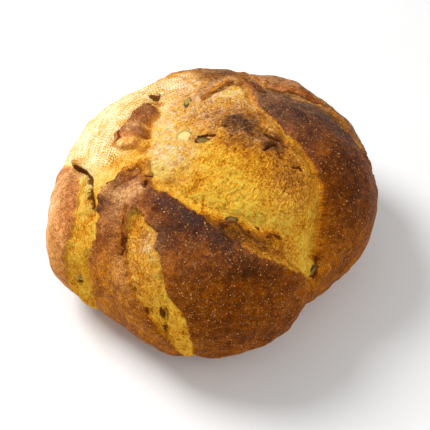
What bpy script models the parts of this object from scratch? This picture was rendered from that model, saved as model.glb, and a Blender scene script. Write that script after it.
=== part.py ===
"""A round pumpkin bread with a craggy, burst crust and pumpkin seeds baked into it.

The loaf stands on Z = 0 with +Z up and its centre over the origin. Its front, the side
towards -Y, holds the two long bursts. A place on the crust is given by two numbers, across
(to the right) and along (to the back), in millimetres over the crust from the crown.
"""

import math

import bmesh
import bpy
import numpy as np
from mathutils import Matrix, Vector, noise

MM = 0.001

# The plain dome, in metres
CROWN_HEIGHT = 0.112
WIDEST_HEIGHT = 0.045
MEAN_RADIUS = 0.1055
BELLY_DEPTH = 0.056
UPPER_ROUNDNESS = 2.2
LOWER_ROUNDNESS = 2.4
NEAR_AXIS = 1e-6

# Where the dome's axis stands, so that the whole outline is centred over the origin
AXIS = (-0.0019, -0.0002)

# Swellings and hollows of the plan: bearing and spread in degrees, size in metres
PLAN_LOBES = [
    (0, 0.0030, 18),
    (30, 0.0045, 18),
    (62, 0.0010, 14),
    (95, 0.0020, 16),
    (120, -0.0010, 14),
    (137, -0.0060, 11),
    (159, -0.0025, 8),
    (184, -0.0040, 11),
    (203, 0.0070, 10),
    (232, -0.0046, 11),
    (252, 0.0020, 8),
    (270, 0.0025, 14),
    (292, -0.0030, 12),
    (314, -0.0120, 12),
    (336, -0.0060, 13),
]

# Crust length for each degree away from the crown, what lies under the foot, and the step
# that the crust's slope is taken over, in mm
CRUST_PER_DEGREE = 1.5
UNDER = 205
SLOPE_STEP = 1.5

# Plates of dark skin, as outlines in mm over the crust
FRONT_APRON = [
    (-44, -24), (-45, -38), (-42, -43), (-38, -48), (-31, -52), (-24, -58), (-15, -64), (-9, -67),
    (3, -71), (14, -71), (21, -76), (27, -78), (36, -76), (46, -75), (47, -83), (54, -89),
    (66, -92), (81, -96), (90, -105), (100, -115), (112, -122), (UNDER, -UNDER), (0, -UNDER),
    (-16, -170), (-15, -145), (-15, -126), (-19, -115), (-28, -106), (-31, -96), (-33, -84),
    (-38, -80), (-35, -74), (-41, -68), (-50, -57), (-55, -55), (-58, -62), (-60, -74),
    (-60, -83), (-54, -96), (-44, -112), (-33, -130), (-25, -145), (-20, -160), (-16, -180),
    (-60, -UNDER), (-150, -150), (-124, -112), (-108, -104), (-95, -96), (-89, -87), (-86, -77),
    (-77, -65), (-73, -54), (-71, -43), (-65, -37), (-56, -32),
]
LEFT_FLANK = [
    (-112, 12), (-103, 1), (-99, -10), (-97, -22), (-92, -34), (-91, -48), (-94, -56), (-104, -65),
    (-113, -74), (-124, -84), (-128, -94), (-122, -112), (-150, -150), (-UNDER, 0), (-150, 150),
    (-104, 150), (-102, 128), (-116, 104), (-133, 80), (-137, 58), (-128, 38), (-120, 22),
]
RIGHT_BAND = [
    (21, 75), (30, 48), (36, 32), (47, 18), (54, 5), (64, 0), (71, -14), (76, -30), (79, -46),
    (81, -68), (84, -84), (90, -94), (98, -106), (109, -117), (UNDER, -UNDER), (UNDER, 30),
    (150, 14), (132, 10), (118, 12), (103, 21), (91, 31), (81, 39), (70, 45), (58, 48), (47, 52),
    (37, 56), (29, 64), (24, 76),
]
BACK_PLATE = [
    (26, 84), (33, 72), (40, 66), (52, 69), (64, 68), (74, 64), (85, 60), (98, 49), (113, 37),
    (130, 24), (146, 8), (UNDER, 0), (UNDER, UNDER), (20, UNDER), (26, 136), (33, 116), (29, 98),
]
TOP_SKIN = [
    (-9, 44), (-5, 48), (1, 55), (7, 59), (16, 63), (20, 67), (20, 92), (22, 108), (32, 128),
    (60, 150), (20, UNDER), (-90, 190), (-100, 150), (-80, 140), (-64, 124), (-50, 108),
    (-36, 92), (-24, 78), (-17, 66), (-13, 54),
]
ISLAND = [
    (-45, 39), (-51, 35), (-57, 29), (-61, 20), (-65, 13), (-71, 9), (-73, 1), (-66, -5),
    (-57, -7), (-54, -1), (-57, 6), (-53, 10), (-55, 17), (-50, 23), (-49, 28), (-45, 33),
]
DARK_SKIN = [FRONT_APRON, LEFT_FLANK, RIGHT_BAND, BACK_PLATE, TOP_SKIN, ISLAND]

# Levels of the skin and of the bare crumb against the plain dome, in mm
SKIN_LEVEL = 1.4
SKIN_PILLOW = 1.4
PILLOW_REACH = 18
CRUMB_LEVEL = -2.4
STEP_WIDTH = 2.2
RAGGED_EDGE = 1.4
RAGGED_SIZE = 8

# Swollen crumb: centre, half sizes and rise in mm over the crust, and how full its top is
SWELLING_SHAPE = 0.75
SWELLINGS = [
    ((18, -17), (66, 62), 6.0),
    ((24, 8), (30, 24), 2.0),
    ((-95, 42), (46, 66), 4.8),
    ((-62, 58), (28, 28), 3.2),
    ((-24, 74), (24, 28), 2.6),
    ((-45, -98), (13, 42), 3.2),
    ((-96, -64), (13, 30), 2.4),
    ((-118, -92), (16, 34), 4.5),
    ((-21, -140), (14, 34), 3.6),
    ((74, 55), (44, 11), 2.2),
    ((4, 50), (28, 20), 3.2),
    ((24, 88), (12, 42), 4.4),
    ((-46, 90), (18, 26), 1.8),
    ((-32, -26), (16, 18), 2.4),
]

# Folds that run along the crust: the line, rise (or fall) and half width, in mm
FOLDS = [
    ([(-45, 44), (-52, 39), (-60, 30), (-65, 19), (-73, 11), (-75, 4)], -4.6, 2.2),
    ([(-44, 36), (-46, 28), (-50, 19), (-52, 10)], -4.2, 4.2),
    ([(-30, -47), (-15, -59), (4, -65), (20, -69), (36, -72)], -3.0, 4.5),
    ([(-97, -7), (-93, -16), (-89, -25), (-86, -32), (-84, -39), (-83, -50)], -6.5, 2.6),
    ([(-96, -13), (-93, -21), (-90, -29), (-88, -36), (-88, -45)], 1.6, 1.6),
    ([(-100, -12), (-98, -20), (-95, -30), (-93, -40)], -3.6, 2.8),
    ([(22, 60), (33, 34), (44, 18), (54, 2), (66, -4), (73, -26), (77, -52), (80, -80)], -2.6, 4.0),
    ([(89, -94), (85, -80)], -3.6, 1.6),
    ([(88, -97), (96, -106), (106, -116)], -3.0, 3.0),
    ([(-13, -10), (-6, -10), (-1, -9)], -1.8, 2.6),
    ([(-10, -7), (-4, -5), (1, -5)], -3.4, 1.5),
    ([(39, -2), (45, -4), (51, -5)], -3.0, 1.7),
    ([(37, -16), (40, -12), (45, -8), (48, -13)], -2.6, 1.6),
    ([(57, -25), (61, -23), (63, -26)], -2.6, 1.6),
    ([(28, 72), (38, 61), (56, 64), (72, 60), (88, 53), (106, 40)], -3.6, 3.2),
    ([(-60, -70), (-61, -80)], -2.4, 1.5),
    ([(-8, 40), (0, 50), (10, 56)], -2.2, 3.0),
    ([(-50, -27), (-60, -34), (-69, -40)], 4.4, 4.0),
    ([(-46, -42), (-38, -52)], 3.0, 5.0),
    ([(-36, -55), (-25, -62), (-12, -70), (4, -76)], 2.8, 6.0),
    ([(-72, -44), (-77, -58), (-86, -70)], 1.8, 5.0),
    ([(-47, 38), (-56, 32), (-62, 22), (-68, 10)], 3.2, 4.0),
    ([(30, 50), (48, 30), (70, 18), (88, 2)], 1.6, 12.0),
    ([(-16, -4), (-8, -6), (2, -4), (12, 0)], 1.8, 3.0),
    ([(-98, 2), (-96, -3)], 4.4, 2.8),
    ([(-55, 10), (-51, 5)], -3.4, 3.2),
    ([(-106, 28), (-106, 16), (-108, 5)], -2.2, 6.0),
    ([(-117, 8), (-121, -6), (-117, -20)], 2.4, 7.0),
    ([(-92, 44), (-88, 34), (-84, 22)], 1.2, 6.0),
    ([(2, -75), (12, -77), (24, -82), (38, -83), (50, -87)], -1.4, 5.0),
    ([(60, 72), (80, 62), (98, 48), (112, 30)], 1.8, 9.0),
    ([(47, 84), (60, 80)], 1.8, 8.0),
    ([(-16, 32), (-5, 33), (5, 37), (12, 35), (22, 33)], 1.8, 2.6),
    ([(-12, 40), (0, 44), (12, 43), (22, 40)], -1.8, 3.0),
]

# Open bubbles in the crumb: place, depth and half width, in mm
BUBBLES = [
    ((-33, -115), 4.8, 2.8),
    ((-42, -112), 3.2, 2.0),
    ((-33, -124), 3.0, 2.0),
    ((-20, -126), 2.2, 1.8),
    ((-51, -100), 2.4, 1.8),
    ((10, 1), 3.0, 1.5),
    ((-45, 53), 5.0, 3.0),
    ((-107, -81), 4.0, 5.0),
    ((-45, -36), 3.0, 1.6),
    ((-45, -43), 3.0, 1.7),
]

# Low unevenness of the whole loaf: size and rise in mm, and the draw that it uses
BROAD_WAVES = (34, 1.6, 3)
FINE_WAVES = (11, 0.9, 8)

# What sets one draw apart from the next, and the fractal's roughness, gap and octaves
DRAW_SHIFT = (7.3, 3.1, 5.7)
WAVE_FORM = (0.9, 2.0, 2)

# Hulled pumpkin seeds: place in mm, turn and lean in degrees, length in metres, and how
# broad each is against the usual seed
SEED_WIDTH = 0.66
SEED_THICKNESS = 0.24
SEED_TAPER = 0.28
SEED_SINK = 0.0002
SEED_DETAIL = 2
SEEDS = [
    ((-21, -5), 15, 24, 0.0115, 1.6),
    ((-7, -10), 170, 4, 0.0112, 0.9),
    ((-20, 43), 70, 14, 0.0105, 0.8),
    ((-46, 53), 40, 15, 0.0090, 1.0),
    ((-107, -81), 20, 10, 0.0105, 1.0),
    ((87, -89), 92, 50, 0.0110, 0.8),
    ((13, -70), 10, 20, 0.0090, 1.0),
]

BALL_DETAIL = 7
SURFACE_TRIANGLES = 9000
SKIN_COLOUR = (0.235, 0.085, 0.030, 1)
CRUMB_COLOUR = (0.640, 0.330, 0.055, 1)
SEED_COLOUR = (0.560, 0.430, 0.190, 1)


def clear_scene():
    for obj in list(bpy.data.objects):
        bpy.data.objects.remove(obj)


def plan_radius(bearing):
    """Radius of the plain dome at its widest, for bearings in radians."""
    radius = np.full_like(bearing, MEAN_RADIUS)
    for centre, size, spread in PLAN_LOBES:
        off = (np.degrees(bearing) - centre + 180) % 360 - 180
        radius += size * np.exp(-0.5 * (off / spread) ** 2)
    return radius


def dome_radius(direction):
    """Distance of the plain dome from the loaf's middle, along unit directions."""
    flat = np.hypot(direction[:, 0], direction[:, 1]) / plan_radius(bearing_of(direction))
    flat = np.maximum(flat, NEAR_AXIS)
    rise = direction[:, 2]
    upper = (flat**UPPER_ROUNDNESS
             + (np.maximum(rise, 0) / (CROWN_HEIGHT - WIDEST_HEIGHT)) ** UPPER_ROUNDNESS)
    lower = (flat**LOWER_ROUNDNESS
             + (np.maximum(-rise, 0) / BELLY_DEPTH) ** LOWER_ROUNDNESS)
    return np.where(rise > 0, upper ** (-1 / UPPER_ROUNDNESS), lower ** (-1 / LOWER_ROUNDNESS))


def bearing_of(direction):
    return np.arctan2(direction[:, 1], direction[:, 0])


def crust_place(direction):
    """The two crust coordinates, in mm, of unit directions from the loaf's middle."""
    reach = np.degrees(np.arccos(np.clip(direction[:, 2], -1, 1))) * CRUST_PER_DEGREE
    bearing = bearing_of(direction)
    return np.stack([reach * np.cos(bearing), reach * np.sin(bearing)], axis=1)


def crust_direction(place):
    """Unit directions from the loaf's middle to places on the crust, given in mm."""
    place = np.asarray(place, float)
    angle = np.radians(np.hypot(place[:, 0], place[:, 1]) / CRUST_PER_DEGREE)
    bearing = bearing_of(place)
    return np.stack([np.sin(angle) * np.cos(bearing), np.sin(angle) * np.sin(bearing),
                     np.cos(angle)], axis=1)


def distance_to_line(place, line):
    """Distance in mm from each place to an open line of points."""
    nearest = np.full(len(place), np.inf)
    for start, end in zip(line[:-1], line[1:]):
        start, way = np.array(start, float), np.subtract(end, start)
        share = np.clip((place - start) @ way / (way @ way), 0, 1)
        off = place - start - share[:, None] * way
        nearest = np.minimum(nearest, np.hypot(off[:, 0], off[:, 1]))
    return nearest


def depth_inside(place, outline):
    """Distance in mm to a closed outline, positive inside it."""
    closed = outline + outline[:1]
    inside = np.zeros(len(place), bool)
    for (x0, y0), (x1, y1) in zip(closed[:-1], closed[1:]):
        crosses = (y0 > place[:, 1]) != (y1 > place[:, 1])
        if y0 != y1:
            edge = x0 + (place[:, 1] - y0) * (x1 - x0) / (y1 - y0)
            inside ^= crosses & (place[:, 0] < edge)
    return np.where(inside, 1, -1) * distance_to_line(place, closed)


def waves(points, size, draw):
    """Smooth unevenness, from about -1 to 1, with bumps of the given size in mm."""
    shift = Vector(DRAW_SHIFT) * draw
    return np.array([noise.fractal(Vector(point) / (size * MM) + shift, *WAVE_FORM)
                     for point in points])


def smooth_step(low, high, value):
    share = np.clip((value - low) / (high - low), 0, 1)
    return share * share * (3 - 2 * share)


def skin_depth(place, points):
    """Distance in mm inside the dark skin, negative on bare crumb, with ragged edges."""
    ragged = np.stack([waves(points, RAGGED_SIZE, draw) for draw in (1, 2)], axis=1)
    place = place + RAGGED_EDGE * ragged
    return np.max([depth_inside(place, outline) for outline in DARK_SKIN], axis=0)


def relief(place, points):
    """Height in mm of the crust above the plain dome."""
    depth = skin_depth(place, points)
    skin = SKIN_LEVEL + SKIN_PILLOW * (1 - np.exp(-np.maximum(depth, 0) / PILLOW_REACH))
    crumb = np.full(len(place), float(CRUMB_LEVEL))
    for centre, half, rise in SWELLINGS:
        off = ((place - np.array(centre)) / np.array(half)) ** 2
        crumb += rise * np.clip(1 - off.sum(axis=1), 0, 1) ** SWELLING_SHAPE
    share = smooth_step(-STEP_WIDTH / 2, STEP_WIDTH / 2, depth)
    height = crumb + (skin - crumb) * share
    for line, rise, half in FOLDS:
        height += rise * np.exp(-((distance_to_line(place, line) / half) ** 2))
    for centre, fall, half in BUBBLES:
        off = np.hypot(*(place - np.array(centre)).T)
        height -= fall * np.exp(-((off / half) ** 2))
    for size, rise, draw in (BROAD_WAVES, FINE_WAVES):
        height += rise * waves(points, size, draw)
    return height


def crust_points(direction):
    """Places in metres on the finished crust, along unit directions from the middle."""
    middle = np.array([*AXIS, WIDEST_HEIGHT])
    radius = dome_radius(direction)
    height = relief(crust_place(direction), direction * radius[:, None])
    return middle + direction * (radius + height * MM)[:, None]


def make_material(name, colour, roughness):
    material = bpy.data.materials.new(name)
    material.use_nodes = True
    shader = material.node_tree.nodes["Principled BSDF"]
    shader.inputs["Base Color"].default_value = colour
    shader.inputs["Roughness"].default_value = roughness
    shader.inputs["Metallic"].default_value = 0
    material.diffuse_color = colour
    return material


def make_collection(name):
    collection = bpy.data.collections.new(name)
    bpy.context.scene.collection.children.link(collection)
    return collection


def keep_result(obj):
    """Make the object's mesh what its modifiers give, and drop the modifiers."""
    bpy.context.view_layer.update()
    graph = bpy.context.evaluated_depsgraph_get()
    plain = obj.data
    obj.data = bpy.data.meshes.new_from_object(obj.evaluated_get(graph))
    obj.modifiers.clear()
    bpy.data.meshes.remove(plain)


def cut_foot(mesh):
    """Cut the loaf off level at Z = 0 and close the foot with one flat face."""
    shape = bmesh.new()
    shape.from_mesh(mesh)
    everything = shape.verts[:] + shape.edges[:] + shape.faces[:]
    bmesh.ops.bisect_plane(shape, geom=everything, plane_co=(0, 0, 0), plane_no=(0, 0, 1),
                           clear_inner=True)
    rim = [edge for edge in shape.edges if edge.is_boundary]
    bmesh.ops.edgeloop_fill(shape, edges=rim)
    bmesh.ops.recalc_face_normals(shape, faces=shape.faces[:])
    shape.to_mesh(mesh)
    shape.free()


def make_loaf(collection, materials):
    """The whole body: a ball drawn out to the crust, thinned and cut level below."""
    bpy.ops.mesh.primitive_ico_sphere_add(subdivisions=BALL_DETAIL, radius=1)
    loaf = bpy.context.object
    loaf.name = loaf.data.name = "loaf"
    for owner in loaf.users_collection:
        owner.objects.unlink(loaf)
    collection.objects.link(loaf)

    direction = np.array([vertex.co.normalized() for vertex in loaf.data.vertices])
    loaf.data.vertices.foreach_set("co", crust_points(direction).ravel())
    thin = loaf.modifiers.new("thin out", "DECIMATE")
    thin.ratio = SURFACE_TRIANGLES / len(loaf.data.polygons)
    keep_result(loaf)
    cut_foot(loaf.data)

    for material in materials:
        loaf.data.materials.append(material)
    middle = Vector((*AXIS, WIDEST_HEIGHT))
    centres = [(face.center - middle).normalized() for face in loaf.data.polygons]
    direction = np.array(centres)
    points = direction * dome_radius(direction)[:, None]
    bare = skin_depth(crust_place(direction), points) < 0
    loaf.data.polygons.foreach_set("material_index", bare.astype(np.int32))
    loaf.data.shade_smooth()
    return loaf


def crust_frame(place):
    """The crust's point at one place, and its right, back and outward directions."""
    beside, behind = np.add(place, (SLOPE_STEP, 0)), np.add(place, (0, SLOPE_STEP))
    around = np.array([place, beside, behind])
    point, right, back = crust_points(crust_direction(around))
    out = Vector(np.cross(right - point, back - point)).normalized()
    right = Vector(right - point)
    right = (right - right.dot(out) * out).normalized()
    return Vector(point), right, out.cross(right), out


def make_seed(name, place, turn, lean, length, breadth, collection, material):
    """One hulled seed: a flat ball, narrower at one end, lying on the crust."""
    bpy.ops.mesh.primitive_ico_sphere_add(subdivisions=SEED_DETAIL, radius=0.5)
    seed = bpy.context.object
    seed.name = seed.data.name = name
    for owner in seed.users_collection:
        owner.objects.unlink(seed)
    collection.objects.link(seed)
    for vertex in seed.data.vertices:
        narrow = 1 - SEED_TAPER * (2 * vertex.co.x + 1) / 2
        vertex.co.y *= SEED_WIDTH * breadth * narrow
        vertex.co.z *= SEED_THICKNESS
        vertex.co *= length

    point, right, back, out = crust_frame(place)
    axes = Matrix((right, back, out)).transposed().to_4x4()
    spin = Matrix.Rotation(math.radians(turn), 4, "Z") @ Matrix.Rotation(math.radians(lean), 4, "X")
    seed.data.transform(Matrix.Translation(point - out * SEED_SINK) @ axes @ spin)
    seed.data.materials.append(material)
    seed.hide_render = True
    seed.display_type = "WIRE"
    return seed


def fuse(loaf, collection):
    """Join everything in the collection to the loaf, and remove the loose copies."""
    union = loaf.modifiers.new("seeds", "BOOLEAN")
    union.operation = "UNION"
    union.operand_type = "COLLECTION"
    union.collection = collection
    union.solver = "MANIFOLD"
    keep_result(loaf)
    for obj in list(collection.objects):
        bpy.data.objects.remove(obj)
    bpy.data.collections.remove(collection)


def main():
    clear_scene()
    skin = make_material("baked skin", SKIN_COLOUR, 0.55)
    crumb = make_material("burst crumb", CRUMB_COLOUR, 0.75)
    husk = make_material("pumpkin seed", SEED_COLOUR, 0.45)
    loaf = make_loaf(make_collection("pumpkin bread"), [skin, crumb])
    topping = make_collection("pumpkin seeds")
    for number, (place, turn, lean, length, breadth) in enumerate(SEEDS, start=1):
        make_seed(f"seed_{number}", place, turn, lean, length, breadth, topping, husk)
    fuse(loaf, topping)


main()
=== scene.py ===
import math

import bmesh
import bpy
import numpy as np
from bpy.props import FloatProperty, FloatVectorProperty, IntProperty, PointerProperty
from mathutils import Matrix, Vector, noise


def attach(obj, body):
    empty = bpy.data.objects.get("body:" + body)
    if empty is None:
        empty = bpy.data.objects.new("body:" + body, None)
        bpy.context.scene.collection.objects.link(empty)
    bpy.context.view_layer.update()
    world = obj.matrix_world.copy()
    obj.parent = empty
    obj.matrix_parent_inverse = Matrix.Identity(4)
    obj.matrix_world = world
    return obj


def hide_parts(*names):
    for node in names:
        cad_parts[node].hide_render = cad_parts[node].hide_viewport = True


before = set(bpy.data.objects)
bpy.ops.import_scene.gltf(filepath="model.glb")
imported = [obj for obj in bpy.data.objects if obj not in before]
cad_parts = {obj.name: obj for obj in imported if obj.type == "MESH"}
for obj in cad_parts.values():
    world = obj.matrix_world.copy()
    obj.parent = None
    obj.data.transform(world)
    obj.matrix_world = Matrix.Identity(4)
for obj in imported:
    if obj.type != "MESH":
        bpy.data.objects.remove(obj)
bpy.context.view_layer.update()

bl_info = {
    "name": "Pumpkin bread",
    "version": (1, 0, 0),
    "blender": (4, 5, 0),
    "location": "3D View > Sidebar > Bread",
    "description": "A round pumpkin bread with a burst crust, seeds and a plain stage",
    "category": "Add Mesh",
}

MM = 0.001
NEAR_AXIS = 1e-6

# The plain dome, in metres, as in the solid model
CROWN_HEIGHT = 0.112
WIDEST_HEIGHT = 0.045
MEAN_RADIUS = 0.1055
BELLY_DEPTH = 0.056
UPPER_ROUNDNESS = 2.2
LOWER_ROUNDNESS = 2.4

# Where the dome's axis stands, so that the whole outline is centred over the origin
AXIS = (-0.0019, -0.0002)

# Swellings and hollows of the plan: bearing and spread in degrees, size in metres
PLAN_LOBES = [
    (0, 0.003, 18), (30, 0.0045, 18), (62, 0.001, 14), (95, 0.002, 16), (120, -0.001, 14),
    (137, -0.006, 11), (159, -0.0025, 8), (184, -0.004, 11), (203, 0.007, 10), (232, -0.0046, 11),
    (252, 0.002, 8), (270, 0.0025, 14), (292, -0.003, 12), (314, -0.012, 12), (336, -0.006, 13),
]

# Crust length for each degree away from the crown, and where the foot begins, in mm
CRUST_PER_DEGREE = 1.5
UNDER = 205
FOOT_RIM = 176
FOOT_BLEND = 4

# Plates of dark skin, as outlines in mm over the crust: across to the right, along to the back
FRONT_APRON = [
    (-44, -24), (-45, -38), (-42, -43), (-38, -48), (-31, -52), (-24, -58), (-15, -64), (-9, -67),
    (3, -71), (14, -71), (21, -76), (27, -78), (36, -76), (46, -75), (47, -83), (54, -89),
    (66, -92), (81, -96), (90, -105), (100, -115), (112, -122), (UNDER, -UNDER), (0, -UNDER),
    (-16, -170), (-15, -145), (-15, -126), (-19, -115), (-28, -106), (-31, -96), (-33, -84),
    (-38, -80), (-35, -74), (-41, -68), (-50, -57), (-55, -55), (-58, -62), (-60, -74),
    (-60, -83), (-54, -96), (-44, -112), (-33, -130), (-25, -145), (-20, -160), (-16, -180),
    (-60, -UNDER), (-150, -150), (-124, -112), (-108, -104), (-95, -96), (-89, -87), (-86, -77),
    (-77, -65), (-73, -54), (-71, -43), (-65, -37), (-56, -32),
]
LEFT_FLANK = [
    (-112, 12), (-103, 1), (-99, -10), (-97, -22), (-92, -34), (-91, -48), (-94, -56), (-104, -65),
    (-113, -74), (-124, -84), (-128, -94), (-122, -112), (-150, -150), (-UNDER, 0), (-150, 150),
    (-104, 150), (-102, 128), (-116, 104), (-133, 80), (-137, 58), (-128, 38), (-120, 22),
]
RIGHT_BAND = [
    (21, 75), (30, 48), (36, 32), (47, 18), (54, 5), (64, 0), (71, -14), (76, -30), (79, -46),
    (81, -68), (84, -84), (90, -94), (98, -106), (109, -117), (UNDER, -UNDER), (UNDER, 30),
    (150, 14), (132, 10), (118, 12), (103, 21), (91, 31), (81, 39), (70, 45), (58, 48), (47, 52),
    (37, 56), (29, 64), (24, 76),
]
BACK_PLATE = [
    (26, 84), (33, 72), (40, 66), (52, 69), (64, 68), (74, 64), (85, 60), (98, 49), (113, 37),
    (130, 24), (146, 8), (UNDER, 0), (UNDER, UNDER), (20, UNDER), (26, 136), (33, 116), (29, 98),
]
TOP_SKIN = [
    (-9, 44), (-5, 48), (1, 55), (7, 59), (16, 63), (20, 67), (20, 92), (22, 108), (32, 128),
    (60, 150), (20, UNDER), (-90, 190), (-100, 150), (-80, 140), (-64, 124), (-50, 108),
    (-36, 92), (-24, 78), (-17, 66), (-13, 54),
]
ISLAND = [
    (-45, 39), (-51, 35), (-57, 29), (-61, 20), (-65, 13), (-71, 9), (-73, 1), (-66, -5),
    (-57, -7), (-54, -1), (-57, 6), (-53, 10), (-55, 17), (-50, 23), (-49, 28), (-45, 33),
]
DARK_SKIN = [FRONT_APRON, LEFT_FLANK, RIGHT_BAND, BACK_PLATE, TOP_SKIN, ISLAND]

# Levels of the skin and of the bare crumb against the plain dome, in mm
SKIN_LEVEL = 1.4
SKIN_PILLOW = 1.4
PILLOW_REACH = 18
CRUMB_LEVEL = -2.4
STEP_WIDTH = 1.1
RAGGED_EDGE = 1.4
RAGGED_WAVES = (8, (1, 2))
TORN_EDGE = 0.6
TORN_WAVES = (2.6, (4, 5))
SKIN_EDGE = 0.35

# Swollen crumb: centre, half sizes and rise in mm over the crust
SWELLINGS = [
    ((18, -17), (66, 62), 6.0), ((24, 8), (30, 24), 2.0), ((-95, 42), (46, 66), 4.8),
    ((-62, 58), (28, 28), 3.2), ((-24, 74), (24, 28), 2.6), ((-45, -98), (13, 42), 3.2),
    ((-96, -64), (13, 30), 2.4), ((-118, -92), (16, 34), 4.5), ((-21, -140), (14, 34), 3.6),
    ((74, 55), (44, 11), 2.2), ((4, 50), (28, 20), 3.2), ((24, 88), (12, 42), 4.4),
    ((-46, 90), (18, 26), 1.8), ((-32, -26), (16, 18), 2.4),
]
SWELLING_SHAPE = 0.75

# Folds that run along the crust: the line, rise (or fall) and half width, in mm
FOLDS = [
    ([(-45, 44), (-52, 39), (-60, 30), (-65, 19), (-73, 11), (-75, 4)], -4.6, 2.2),
    ([(-44, 36), (-46, 28), (-50, 19), (-52, 10)], -4.2, 4.2),
    ([(-30, -47), (-15, -59), (4, -65), (20, -69), (36, -72)], -3.0, 4.5),
    ([(-97, -7), (-93, -16), (-89, -25), (-86, -32), (-84, -39), (-83, -50)], -6.5, 2.6),
    ([(-96, -13), (-93, -21), (-90, -29), (-88, -36), (-88, -45)], 1.6, 1.6),
    ([(-100, -12), (-98, -20), (-95, -30), (-93, -40)], -3.6, 2.8),
    ([(22, 60), (33, 34), (44, 18), (54, 2), (66, -4), (73, -26), (77, -52), (80, -80)], -2.6, 4.0),
    ([(89, -94), (85, -80)], -3.6, 1.6), ([(88, -97), (96, -106), (106, -116)], -3.0, 3.0),
    ([(-13, -10), (-6, -10), (-1, -9)], -1.8, 2.6), ([(-10, -7), (-4, -5), (1, -5)], -3.4, 1.5),
    ([(39, -2), (45, -4), (51, -5)], -3.0, 1.7),
    ([(37, -16), (40, -12), (45, -8), (48, -13)], -2.6, 1.6),
    ([(57, -25), (61, -23), (63, -26)], -2.6, 1.6),
    ([(28, 72), (38, 61), (56, 64), (72, 60), (88, 53), (106, 40)], -3.6, 3.2),
    ([(-60, -70), (-61, -80)], -2.4, 1.5), ([(-8, 40), (0, 50), (10, 56)], -2.2, 3.0),
    ([(-50, -27), (-60, -34), (-69, -40)], 4.4, 4.0), ([(-46, -42), (-38, -52)], 3.0, 5.0),
    ([(-36, -55), (-25, -62), (-12, -70), (4, -76)], 2.8, 6.0),
    ([(-72, -44), (-77, -58), (-86, -70)], 1.8, 5.0),
    ([(-47, 38), (-56, 32), (-62, 22), (-68, 10)], 3.2, 4.0),
    ([(30, 50), (48, 30), (70, 18), (88, 2)], 1.6, 12.0),
    ([(-16, -4), (-8, -6), (2, -4), (12, 0)], 1.8, 3.0), ([(-98, 2), (-96, -3)], 4.4, 2.8),
    ([(-55, 10), (-51, 5)], -3.4, 3.2), ([(-106, 28), (-106, 16), (-108, 5)], -2.2, 6.0),
    ([(-117, 8), (-121, -6), (-117, -20)], 2.4, 7.0), ([(-92, 44), (-88, 34), (-84, 22)], 1.2, 6.0),
    ([(2, -75), (12, -77), (24, -82), (38, -83), (50, -87)], -1.4, 5.0),
    ([(60, 72), (80, 62), (98, 48), (112, 30)], 1.8, 9.0), ([(47, 84), (60, 80)], 1.8, 8.0),
    ([(-16, 32), (-5, 33), (5, 37), (12, 35), (22, 33)], 1.8, 2.6),
    ([(-12, 40), (0, 44), (12, 43), (22, 40)], -1.8, 3.0),
]

# Open bubbles in the crumb: place, depth and half width, in mm
BUBBLES = [
    ((-33, -115), 4.8, 2.8), ((-42, -112), 3.2, 2.0), ((-33, -124), 3.0, 2.0), ((-20, -126), 2.2, 1.8),
    ((-51, -100), 2.4, 1.8), ((10, 1), 3.0, 1.5), ((-45, 53), 5.0, 3.0), ((-107, -81), 4.0, 5.0),
    ((-45, -36), 3.0, 1.6), ((-45, -43), 3.0, 1.7),
]

# Low unevenness of the whole loaf: size and rise in mm, and the draw that it uses
BODY_WAVES = ((34, 1.6, 3), (11, 0.9, 8))

# How each set of waves is drawn: the shift between draws, and its roughness and spacing
DRAW_SHIFT = Vector((7.3, 3.1, 5.7))
WAVE_ROUGHNESS = 0.9
WAVE_GAP = 2.0

# Edges of skin that stand off the crumb: the line, lift, overhang and reach in mm
LIPS = [
    ([(-47, -24), (-44, -43), (-27, -55), (-8, -67)], 0.9, 1.8, 5),
    ([(4, -71), (27, -78), (46, -75)], 0.8, 1.6, 4), ([(21, 75), (36, 32), (47, 18)], 0.6, 1.2, 5),
    ([(29, 64), (58, 48), (91, 31), (118, 12)], 0.8, 1.4, 5),
    ([(26, 84), (40, 66), (64, 68), (85, 60), (113, 37)], 0.9, 1.9, 5),
    ([(-9, 44), (1, 55), (16, 63)], 0.8, 1.8, 5),
    ([(-99, -10), (-92, -34), (-94, -56), (-113, -74)], 0.7, 1.3, 5),
    ([(-56, -32), (-71, -43), (-73, -54), (-86, -77)], 0.9, 1.6, 5),
    ([(-55, -55), (-60, -74), (-54, -96)], 0.6, 1.2, 5),
    ([(-50, -57), (-35, -74), (-33, -84)], 0.4, 0.8, 5),
    ([(-45, 33), (-55, 17), (-57, 6)], 0.4, 0.8, 4),
]
EDGE_WIDTH = 1.0
LIP_WIDTH = 2.4
LIP_FADE = 3.0
LIP_TOP = (-0.5, 0.4)

# How uneven the lips are: the size and draw of the waves, the mean, their share and the most
LIP_WAVES = (9, 6)
LIP_MEAN = 0.6
LIP_CHANGE = 0.9
LIP_MOST = 1.6

# The way the torn crumb is pulled: place in mm and heading in degrees from the right
PULLS = [
    ((-88, -18), 96), ((-78, -4), 82), ((-76, 20), 74), ((-64, 44), 58), ((-40, 66), 34),
    ((-18, 76), 20), ((-108, 30), 86), ((-96, 60), 60), ((-70, 90), 40), ((-20, 30), 30),
    ((0, 10), 12), ((26, 12), 150), ((-38, -34), 40), ((0, -30), 56), ((34, -48), 58),
    ((70, -40), 94), ((54, -4), 128), ((36, 34), 120), ((62, -80), 62), ((30, -82), 165),
    ((-46, -88), 108), ((-30, -120), 116), ((-86, -34), 84), ((-98, -74), 100), ((72, 52), 160),
    ((-56, 6), 60), ((-50, -36), 62), ((10, 66), 20),
]
PULL_REACH = 16
NUDGE = 0.5
SLOPE_STEP = 1.5

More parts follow.
